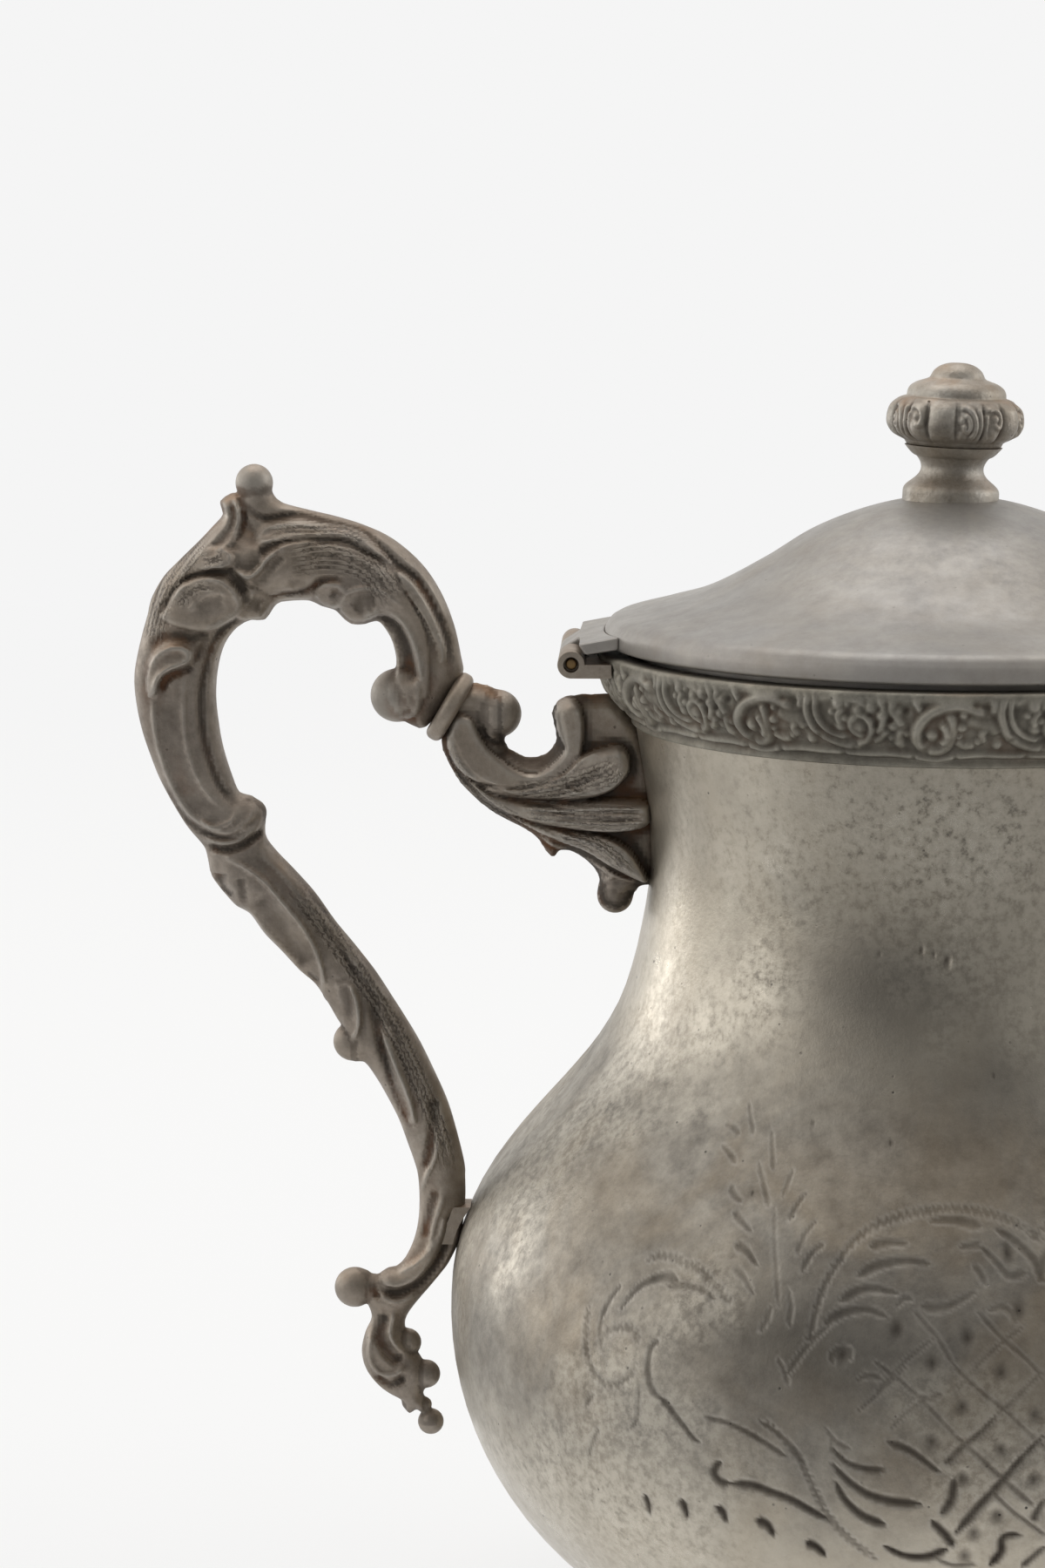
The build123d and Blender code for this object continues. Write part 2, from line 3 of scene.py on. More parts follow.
import bmesh
import bpy
import numpy as np
from mathutils import Matrix, Vector


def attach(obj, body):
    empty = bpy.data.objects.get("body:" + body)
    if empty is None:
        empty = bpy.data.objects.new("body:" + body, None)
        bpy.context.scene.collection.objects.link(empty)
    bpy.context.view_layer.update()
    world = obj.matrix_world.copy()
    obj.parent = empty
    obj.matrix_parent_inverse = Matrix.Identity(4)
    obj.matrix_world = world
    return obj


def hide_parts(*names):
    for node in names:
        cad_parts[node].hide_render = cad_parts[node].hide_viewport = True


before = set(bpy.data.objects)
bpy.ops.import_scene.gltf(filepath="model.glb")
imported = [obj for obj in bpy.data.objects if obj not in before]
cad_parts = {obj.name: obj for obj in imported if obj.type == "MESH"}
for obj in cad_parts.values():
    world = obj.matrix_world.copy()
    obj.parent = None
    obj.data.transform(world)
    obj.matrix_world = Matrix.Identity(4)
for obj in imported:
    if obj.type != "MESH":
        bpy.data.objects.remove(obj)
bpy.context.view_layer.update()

# Studio: a plain pale floor that runs into a pale surround, and soft lamps behind, above and beside
# the pot. The camera stands half a metre in front and a little above, turned slightly to the handle.
MM = 0.001
BACKDROP = "f5f5f5"


def linear(colour):
    """A colour written in hex, as linear red, green, blue and alpha."""
    parts = [int(colour[i:i + 2], 16) / 255 for i in (0, 2, 4)]
    return (*[c / 12.92 if c <= 0.04045 else ((c + 0.055) / 1.055) ** 2.4 for c in parts], 1)


def add(tree, kind, inputs=None, **settings):
    """Add a node with its settings; inputs are values or the outputs that feed them."""
    made = tree.nodes.new(kind)
    for name, value in settings.items():
        setattr(made, name, value)
    for name, value in (inputs or {}).items():
        if isinstance(value, bpy.types.NodeSocket):
            tree.links.new(value, made.inputs[name])
        else:
            made.inputs[name].default_value = value
    return made


def maths(tree, operation, *values, clamp=False):
    """Output of a node that works out one number from others."""
    made = add(tree, "ShaderNodeMath", dict(enumerate(values)), operation=operation, use_clamp=clamp)
    return made.outputs[0]


def ramp(tree, value, low, high, start=0.0, end=1.0, **settings):
    """Output that goes from start to end while a value goes from low to high."""
    return add(tree, "ShaderNodeMapRange", {"Value": value, "From Min": low, "From Max": high,
                                            "To Min": start, "To Max": end}, **settings).outputs[0]


def blend(tree, share, *pair):
    """Output of a colour mixed from two, each an output or a colour in hex."""
    first, second = [linear(c) if isinstance(c, str) else c for c in pair]
    return add(tree, "ShaderNodeMix", {0: share, "A": first, "B": second}, data_type="RGBA").outputs["Result"]


def shown_white(tree):
    """Kinds of ray, and 1 where the camera, directly or through glass, sees a surface, 0 elsewhere."""
    rays = add(tree, "ShaderNodeLightPath")
    return rays, maths(tree, "MAXIMUM", rays.outputs["Is Camera Ray"], rays.outputs["Is Transmission Ray"])


world = bpy.data.worlds.new("surround")
bpy.context.scene.world = world
world.use_nodes = True
tree = world.node_tree
tree.nodes.clear()
rays, seen = shown_white(tree)
# The room in front of the pot is dimmer than the pale sweep behind it, and brighter far to the left
place = add(tree, "ShaderNodeTexCoord")
axes = add(tree, "ShaderNodeSeparateXYZ", {0: place.outputs["Generated"]})
behind = ramp(tree, axes.outputs["Y"], -0.85, 0.35, 0.32, 0.87)
left = ramp(tree, axes.outputs["X"], -0.45, -0.97, 0.0, 1.1)
glow = maths(tree, "ADD", behind, left)
light = add(tree, "ShaderNodeBackground", {"Color": linear("fbfaf8"), "Strength": glow})
backdrop = add(tree, "ShaderNodeBackground", {"Color": linear(BACKDROP), "Strength": 1.0})
pick = add(tree, "ShaderNodeMixShader", {0: seen, 1: light.outputs[0], 2: backdrop.outputs[0]})
add(tree, "ShaderNodeOutputWorld", {"Surface": pick.outputs[0]})

FLOOR_HALF = 6              # half the floor's side, metres
floor_mesh = bpy.data.meshes.new("floor")
corners = [(x * FLOOR_HALF, y * FLOOR_HALF, 0) for x, y in ((-1, -1), (1, -1), (1, 1), (-1, 1))]
floor_mesh.from_pydata(corners, [], [(0, 1, 2, 3)])
floor = bpy.data.objects.new("floor", floor_mesh)
bpy.context.scene.collection.objects.link(floor)
paper = bpy.data.materials.new("pale_paper")
paper.use_nodes = True
tree = paper.node_tree
tree.nodes.clear()
rays, seen = shown_white(tree)
matt = add(tree, "ShaderNodeBsdfDiffuse", {"Color": linear("f4f4f3")})
# The paper fades into the backdrop far behind the pot, so no horizon shows
spot = add(tree, "ShaderNodeTexCoord")
away = add(tree, "ShaderNodeVectorMath", {0: spot.outputs["Object"]}, operation="LENGTH")
far = ramp(tree, away.outputs["Value"], 0.25, 1.6, 0.72, 1.0, interpolation_type="SMOOTHSTEP")
tint = blend(tree, far, "fbfbfb", BACKDROP)
# What the pot mirrors of the paper fades away toward the dim room in front
axes = add(tree, "ShaderNodeSeparateXYZ", {0: spot.outputs["Object"]})
front = ramp(tree, axes.outputs["Y"], -0.11, -0.24, 0.0, 0.62, interpolation_type="SMOOTHSTEP")
dimmed = maths(tree, "MULTIPLY", front, rays.outputs["Is Glossy Ray"])
power = maths(tree, "SUBTRACT", 1.0, dimmed)
glow = add(tree, "ShaderNodeEmission", {"Color": tint, "Strength": power})
share = maths(tree, "MULTIPLY", seen, far)
mirrored_too = maths(tree, "MAXIMUM", share, rays.outputs["Is Glossy Ray"])
mixed = add(tree, "ShaderNodeMixShader", {0: mirrored_too, 1: matt.outputs[0], 2: glow.outputs[0]})
add(tree, "ShaderNodeOutputMaterial", {"Surface": mixed.outputs[0]})
floor_mesh.materials.append(paper)


def lamp(name, place, size, watts, aim=(0, 0, 0.1)):
    """A soft rectangular lamp at a place in metres, turned to the pot."""
    data = bpy.data.lights.new(name, "AREA")
    data.shape = "RECTANGLE"
    data.size, data.size_y = size
    data.energy = watts
    made = bpy.data.objects.new(name, data)
    made.location = place
    made.rotation_euler = (Vector(aim) - Vector(place)).to_track_quat("-Z", "Y").to_euler()
    bpy.context.scene.collection.objects.link(made)


lamp("window_left", (-1.15, 0.75, 0.24), (0.1, 0.46), 1.3)
lamp("overhead", (-0.2, 0.35, 1.5), (1.5, 1.2), 7)
lamp("right_side", (1.3, 0.1, 0.6), (0.7, 1.0), 5)

# The photograph's camera, worked out from the ellipses of the rim and the lid. Every place below that is
# given in pixels is a point of the photograph, and its sight line says where it lies on the pot.
PHOTO_SIZE = (1200, 1800)
LENS = 85                   # focal length, mm
PICTURE_HIGH = 36           # height of the picture behind that lens, mm
TILT = radians(8.9)         # looks down
PAN = radians(1.9)          # and turned left, toward the handle
RIM_PX = (1088.5, 744.8)    # pixel where the middle of the rim lies
RIM_Z = 157.5               # its height, mm
RIM_AWAY = 550.0            # and its distance along the view, mm
FOCAL_PX = LENS / PICTURE_HIGH * PHOTO_SIZE[1]
ahead = np.array((-sin(PAN) * cos(TILT), cos(PAN) * cos(TILT), -sin(TILT)))
rightward = np.array((cos(PAN), sin(PAN), 0))
upward = np.cross(rightward, ahead)


def sight(x, y):
    """Sight line through a pixel of the photograph, as its run for one millimetre ahead."""
    across, down = x - PHOTO_SIZE[0] / 2, y - PHOTO_SIZE[1] / 2
    return across / FOCAL_PX * rightward - down / FOCAL_PX * upward + ahead


eye = np.array((0, 0, RIM_Z)) - RIM_AWAY * sight(*RIM_PX)
camera = bpy.data.objects.new("camera", bpy.data.cameras.new("camera"))
camera.data.lens = LENS
camera.data.sensor_fit = "VERTICAL"
camera.data.sensor_height = PICTURE_HIGH
camera.location = np.round(eye, 2) * MM
camera.rotation_euler = (radians(90) - TILT, 0, PAN)
bpy.context.scene.collection.objects.link(camera)
bpy.context.scene.camera = camera
bpy.context.scene.view_settings.view_transform = "Standard"

# Pot wall: spun pewter sheet, pear-shaped, 1.2 mm thick. Its front and back are bright-cut: fern
# sprays, scrolls and a trellis are cut with a graver, and beaded lines are rolled with a wriggle tool.
SHEET = 1.2                 # thickness of the wall
BELLY_R = 74.2              # widest radius of the belly
BELLY_Z = 57.0              # and its height
BELLY_ARC = 48.0            # radius of the round lower belly in section
NECK_R = 44.0               # narrowest radius of the neck
NECK_Z = 126.0
# Shoulder: share of the step from neck to belly, and of the height from belly to neck
SHOULDER = [(0.954, 0.152), (0.748, 0.326), (0.417, 0.50), (0.152, 0.674), (0.043, 0.848)]
BAND_FOOT = (46.6, 147.2)   # radius and height where the rim band begins
WALL_TOP = (50.0, 156.0)
BELLY_START = (0, 1.05)     # direction and pull of the shoulder's curve at its lower end
RIM_FLARE = (1.014, 2.028)  # and at the rim
# Heights at which the shoulder's curve is taken
SHOULDER_RINGS = [57, 62, 67, 72, 77, 82, 86.5, 91.5, 97, 103.5, 110, 115.5, 121, 126, 132, 138, 143, 147.2,
                  151, 154, 156]
# Cuts of the graver: width at each end, depth, then the pixels that it passes
CUTS = [
    (0.3, 1.1, 0.26, [(712, 1503), (720, 1492), (733, 1478), (750, 1469), (765, 1466), (778, 1470)]),
    (0.9, 0.3, 0.2, [(768, 1477), (790, 1476), (805, 1480), (815, 1486), (822, 1493)]),
    (0.3, 0.7, 0.2, [(712, 1476), (703, 1487), (696, 1500), (690, 1512)]),
    (0.5, 0.3, 0.12, [(690, 1512), (688, 1530), (691, 1552)]),
    (0.5, 0.8, 0.2, [(757, 1538), (748, 1547), (745, 1560), (744, 1578), (748, 1594), (757, 1606)]),
    (0.9, 0.4, 0.24, [(757, 1603), (770, 1618), (785, 1637.5), (797, 1652), (805, 1657)]),
    (0.3, 0.6, 0.16, [(682, 1600), (672.5, 1614)]),
    (0.4, 0.4, 0.12, [(735, 1590), (733, 1610), (731, 1630), (722, 1642)]),
    (0.4, 0.4, 0.1, [(889, 1385), (889, 1420), (891, 1460), (894, 1500)]),
    (0.3, 0.5, 0.12, [(860, 1265), (862, 1285), (865, 1302)]),
    (0.4, 0.6, 0.14, [(886, 1297), (887, 1320), (888, 1342)]),
    (0.4, 0.5, 0.12, [(871, 1335), (877, 1360), (883, 1386)]),
    (0.4, 0.5, 0.12, [(911, 1342.5), (904, 1358), (899, 1372)]),
    (0.4, 0.5, 0.12, [(833, 1290), (841, 1294), (849, 1302)]),
    (0.3, 0.5, 0.12, [(829, 1314), (838, 1324), (845, 1334)]),
    (0.7, 0.3, 0.16, [(838, 1362), (843.5, 1372), (852, 1380)]),
    (0.7, 0.3, 0.2, [(842, 1392), (852, 1402), (863, 1415)]),
    (0.9, 0.3, 0.22, [(845, 1428), (857, 1436), (869, 1452)]),
    (0.7, 0.3, 0.16, [(843, 1456), (854, 1466), (865, 1484)]),
    (0.3, 0.7, 0.18, [(925, 1370), (915, 1384), (906, 1400)]),
    (0.3, 0.6, 0.16, [(936, 1402), (923.5, 1417), (915, 1440)]),
    (0.3, 0.7, 0.2, [(947, 1427), (933, 1438), (920, 1460)]),
    (0.3, 0.7, 0.16, [(988, 1413), (972, 1436), (955, 1462), (942, 1486), (935, 1510), (928, 1538)]),
    (0.3, 0.9, 0.2, [(1042, 1428), (1020, 1427), (1000, 1431)]),
    (0.4, 1, 0.24, [(1070, 1452), (1045, 1448), (1015, 1451), (985, 1464)]),
    (0.4, 1, 0.22, [(1032, 1485), (1005, 1479.5), (985, 1482), (965, 1493)]),
    (0.4, 1, 0.22, [(1022, 1513), (1000, 1504), (980, 1504), (962, 1510), (948, 1519)]),
    (0.3, 0.6, 0.12, [(958, 1515), (940, 1532), (922, 1552), (903, 1577)]),
    (0.4, 1, 0.2, [(1068, 1402), (1085, 1400), (1103, 1401), (1127, 1408)]),
    (0.5, 1.1, 0.22, [(1143, 1411), (1160, 1420), (1175, 1433), (1188, 1448), (1198, 1470)]),
    (0.9, 0.4, 0.18, [(1058, 1499), (1080, 1502), (1100, 1495), (1121, 1482)]),
    (0.4, 0.7, 0.16, [(1103, 1431), (1115, 1430), (1126, 1427)]),
    (0.4, 0.8, 0.18, [(1127, 1431), (1143, 1448), (1158, 1464), (1178, 1461)]),
    (0.6, 0.6, 0.16, [(1118, 1453), (1126, 1462), (1131, 1474)]),
    (0.4, 0.4, 0.14, [(1050, 1505), (1076, 1536), (1096, 1568)]),
    (0.3, 0.3, 0.12, [(1006, 1598), (1040, 1562), (1072, 1536)]),
    (0.3, 0.3, 0.12, [(1096, 1600), (1118, 1572), (1146, 1545), (1176, 1522)]),
    (0.4, 0.4, 0.14, [(1122, 1505), (1150, 1535), (1180, 1562), (1197, 1582)]),
    (0.3, 0.4, 0.14, [(1022, 1640), (1038, 1625), (1056, 1610)]),
    (0.4, 0.9, 0.22, [(1145, 1624), (1125, 1645), (1105, 1661.5), (1086, 1680)]),
    (0.5, 1.1, 0.26, [(1198, 1648), (1172, 1676), (1140, 1712), (1115, 1740), (1098, 1760)]),
    (0.5, 0.6, 0.16, [(1097, 1648), (1120, 1668), (1146, 1692), (1168, 1712), (1186, 1728)]),
    (0.4, 0.5, 0.14, [(1155, 1620), (1176, 1640), (1198, 1660)]),
    (0.9, 0.4, 0.24, [(1020, 1654.5), (1045, 1665), (1065, 1680), (1079, 1691)]),
    (0.9, 1, 0.26, [(1095, 1697), (1093, 1720), (1082, 1738)]),
    (0.8, 1, 0.26, [(1070, 1746), (1084, 1760), (1095, 1775)]),
    (0.6, 1.1, 0.26, [(1172, 1762), (1158, 1762), (1150, 1768), (1149, 1782), (1138, 1797)]),
    (0.5, 1.2, 0.26, [(1015, 1775), (1038, 1786), (1064, 1787), (1088, 1779)]),
    (0.5, 0.9, 0.22, [(1199, 1722), (1192, 1734), (1187, 1746)]),
    (0.7, 1, 0.28, [(829, 1678), (822, 1683), (820, 1692), (827, 1701), (838, 1704)]),
    (1, 0.7, 0.34, [(838, 1704), (862, 1705), (885, 1713), (908, 1721.5), (930, 1734), (952, 1746)]),
    (0.5, 0.6, 0.2, [(809, 1627.5), (830.5, 1632), (855, 1643), (880, 1658), (904, 1673)]),
    (0.3, 0.9, 0.22, [(955, 1663), (972, 1678), (992, 1686), (1016, 1688)]),
    (0.5, 1.1, 0.3, [(955, 1680), (972, 1699), (996.5, 1715), (1025, 1724), (1056, 1727)]),
    (0.5, 1.1, 0.3, [(958, 1700), (970, 1722), (990, 1740), (1016, 1751)]),
    (0.3, 0.3, 0.1, [(955, 1647.5), (956, 1670)]),
    (1, 0.3, 0.26, [(740, 1716), (744, 1728), (745, 1738)]),
    (1.2, 0.4, 0.3, [(782, 1722), (786, 1732), (789, 1742)]),
    (1.4, 0.4, 0.3, [(822, 1730), (829.5, 1736), (834, 1748)]),
    (1.5, 0.6, 0.3, [(869, 1746), (880, 1750), (889, 1764)]),
    (1.4, 0.7, 0.26, [(926, 1771), (937, 1776), (947, 1786)]),
    (0.4, 0.4, 0.16, [(1096, 1568), (1125, 1596), (1155, 1620)]),
    (0.3, 0.4, 0.14, [(1198, 1574), (1172, 1600), (1145, 1624)]),
    (0.3, 0.4, 0.14, [(1004, 1562), (1040, 1590), (1072, 1620), (1097, 1648)]),
    (0.3, 0.4, 0.14, [(985, 1620), (1012, 1596), (1040, 1570)]),
    (0.4, 0.3, 0.16, [(1140, 1712), (1160, 1732), (1186, 1752), (1199, 1762)]),
    (0.6, 0.8, 0.2, [(1199, 1776), (1188, 1786), (1174, 1799)]),
    (0.4, 0.6, 0.16, [(956, 1566), (955, 1556), (963, 1548), (974, 1550), (977, 1560)]),
    (0.3, 0.5, 0.14, [(1030, 1500), (1038, 1490), (1048, 1492)]),
    (0.4, 0.7, 0.16, [(1135, 1505), (1150, 1500), (1162, 1508), (1168, 1520)]),
    (0.4, 0.5, 0.14, [(1050, 1600), (1066, 1606), (1082, 1598)]),
    (0.4, 0.5, 0.14, [(985, 1584), (1000, 1578), (1012, 1584)]),
    (0.3, 0.6, 0.16, [(870, 1630), (890, 1644), (908, 1660), (922, 1680)]),
    (0.3, 0.5, 0.14, [(948, 1640), (960, 1655), (975, 1664)]),
    (0.3, 0.5, 0.14, [(884, 1500), (880, 1515), (872, 1528)]),
    (0.3, 0.5, 0.14, [(905, 1480), (908, 1500), (906, 1520)]),
    (0.3, 0.4, 0.12, [(893, 1560), (899, 1572), (905, 1590)]),
    (0.4, 0.4, 0.14, [(688, 1640), (680, 1655), (676, 1672)]),
    (0.3, 0.6, 0.16, [(1075, 1790), (1095, 1797), (1120, 1796)]),
]
# Lines of the wriggle tool, and the dots in the trellis, in pixels
WRIGGLES = [
    [(735, 1540), (727, 1528), (712, 1524), (698, 1528), (688, 1540)],
    [(676, 1500), (672, 1525), (673, 1550), (679, 1572), (692, 1587), (708, 1590), (722, 1580),
     (730, 1564)],
    [(742, 1447.5), (752, 1443), (762, 1441), (772, 1443), (781, 1446), (790, 1452), (800, 1454),
     (808, 1462), (816, 1471), (824, 1477), (830, 1486), (840, 1496)],
    [(880, 1632), (900, 1652), (918, 1676), (932, 1704), (946, 1732), (962, 1754), (982, 1772),
     (1006, 1790)],
    [(928, 1538), (938, 1500.5), (950, 1468), (968, 1440), (988, 1418), (1015, 1403), (1050, 1393),
     (1090, 1388), (1130, 1392), (1165, 1404), (1198, 1424)],
]
DOTS = [(1030, 1525), (1110, 1535), (968, 1555), (1070, 1565), (1150, 1575), (1188, 1625), (1105, 1615),
        (1070, 1655), (1150, 1664.5), (1105, 1697), (1187, 1698), (1145, 1740), (1118, 1761),
        (1108, 1787), (1157, 1438), (1170, 1505)]
# Small pits: pixel, radius, depth
BLEMISHES = [((1058, 1090), 1.3, 0.3), ((1072, 1096), 1, 0.25), ((1087, 1103), 2.1, 0.42),
             ((1023, 1312), 0.8, 0.1), ((933, 1289), 0.7, 0.1), ((1141, 1235), 0.8, 0.12),
             ((864, 1369), 0.6, 0.1), ((1009.5, 1094.5), 0.6, 0.1)]
# Soft zones of dark tarnish, which also paint the dark reflection of the room in front on the belly and neck,
# and of worn crust: pixel, reach round in degrees and up in mm, amount
TARNISH_AND_DARK_REFLECTION = [((1010, 1130), 29, 13.1, 0.9), ((905, 1545), 19, 9.9, 0.9), ((1080, 1500), 16.6, 9, 0.2),
           ((720, 1440), 13.6, 5.8, 0.35), ((1130, 1230), 17.4, 12.7, 0.45)]
CRUST = [((1080, 960), 29.1, 12.5, 1), ((900, 990), 19.6, 11.4, 0.5), ((872, 1129.5), 8.8, 9.6, 0.7),
         ((980, 900), 22.7, 5, 0.5), ((608.75, 1683), 18.8, 9, 0.3), ((709, 1738.5), 18.2, 8, 0.35),
         ((820, 1180), 11.8, 7, 0.35)]
PANEL_MIDDLE = -7.5         # angle at which the engraving is mirrored
MEAN_R = 70.0               # radius at which angles are unrolled
SHEET_CELL = 3.2            # coarse spacing of the wall's mesh
COARSE = 3                  # and how often it is halved beside a cut
CUT_REACH = 1.6             # distance from a cut within which the sheet is shaped
TOOL_CUT = (0.3, 0.3, 0.13)     # width at each end and depth of a wriggled line
ROCK = 0.38                 # swing of the wriggle tool to each side
DOT_SIZE, DOT_DEEP = 2.0, 0.24
SIGHT_FROM, SIGHT_TO, SIGHT_STEPS = 440, 640, 2001      # where the wall is sought along a sight line, mm


def fair_curve(points, first, last, steps=400):
    """Close points of a smooth curve through the given ones, with set directions at its ends."""
    given = np.array(points, float)
    gaps = np.hypot(*np.diff(given, axis=0).T)
    smooth, ends = np.eye(len(given)), np.zeros((len(given), 2))
    ends[0], ends[-1] = first, last
    for i in range(1, len(given) - 1):
        low, high = gaps[i - 1], gaps[i]
        smooth[i, i - 1:i + 2] = high, 2 * (low + high), low
        ends[i] = 3 * (high / low * (given[i] - given[i - 1]) + low / high * (given[i + 1] - given[i]))
    ways = np.linalg.solve(smooth, ends)
    t = np.linspace(0, 1, steps, endpoint=False)[:, None]
    bend = t ** 2 * (3 - 2 * t)
    line = [a + (b - a) * bend + gap * (t * (1 - t) ** 2 * leave - t ** 2 * (1 - t) * arrive)
            for a, b, leave, arrive, gap in zip(given, given[1:], ways, ways[1:], gaps)]
    return np.vstack([*line, given[-1:]])


def flow(points, step):
    """Close points of a smooth line through the given ones, with any extra values smoothed alike."""
    given = np.array(points, float)
    given = np.vstack([2 * given[0] - given[1], given, 2 * given[-1] - given[-2]])
    line = []
    for a, b, c, d in zip(given, given[1:], given[2:], given[3:]):
        count = max(2, int(np.ceil(np.linalg.norm((c - b)[:2]) / step)))
        t = np.linspace(0, 1, count, endpoint=False)[:, None]
        line.append(0.5 * (2 * b + (c - a) * t + (2 * a - 5 * b + 4 * c - d) * t ** 2
                           + (3 * b - a - 3 * c + d) * t ** 3))
    return np.vstack([*line, given[-2:-1]])


def beside(x, y, line, reach):
    """Places within reach of a line: their numbers, distance to it and share of the way along it."""
    low, high = line[:, :2].min(0) - reach, line[:, :2].max(0) + reach
    close = np.nonzero((x > low[0]) & (x < high[0]) & (y > low[1]) & (y < high[1]))[0]
    best = np.full(len(close), reach * 1.0)
    share = np.zeros(len(close))
    px, py = x[close], y[close]
    last = len(line) - 1
    for i, (a, b) in enumerate(zip(line[:, :2], line[1:, :2])):
        way = b - a
        t = np.clip(((px - a[0]) * way[0] + (py - a[1]) * way[1]) / max(way @ way, 1e-9), 0, 1)
        gap = np.hypot(px - a[0] - t * way[0], py - a[1] - t * way[1])
        nearer = gap < best
        best[nearer] = gap[nearer]
        share[nearer] = ((i + t) / last)[nearer]
    kept = best < reach
    return close[kept], best[kept], share[kept]


def new_piece(name, points, faces, finish):
    """A finished piece from points in millimetres."""
    mesh = bpy.data.meshes.new(name)
    mesh.from_pydata((np.asarray(points, float) * MM).tolist(), [], np.asarray(faces).tolist())
    mesh.validate()
    made = bpy.data.objects.new(name, mesh)
    bpy.context.scene.collection.objects.link(made)
    mesh.materials.append(finish)
    mesh.shade_smooth()
    return made


def settle(piece, body, node):
    """Let a finished mesh ride on a body in place of its CAD node, which is hidden."""
    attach(piece, body)
    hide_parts(node)


def clad(node, finish):
    """Give a CAD node that is kept as it is a finish of its own."""
    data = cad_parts[node].data
    data.materials.clear()
    data.materials.append(finish)


def keep_values(piece, name, values):
    """Store one number for each of a mesh's points, for its material to read."""
    layer = piece.data.attributes.new(name, "FLOAT", "POINT")
    layer.data.foreach_set("value", np.asarray(values, np.float32))



def noise(tree, place, scale, detail, rough, **more):
    """Output of a cloudy noise; the scale is in lumps per millimetre."""
    return add(tree, "ShaderNodeTexNoise", {"Vector": place, "Scale": scale, "Detail": detail,
                                            "Roughness": rough, **more}).outputs[0]


def kept_value(tree, name):
    """Output of a number stored with keep_values."""
    return add(tree, "ShaderNodeAttribute", attribute_name=name).outputs["Fac"]


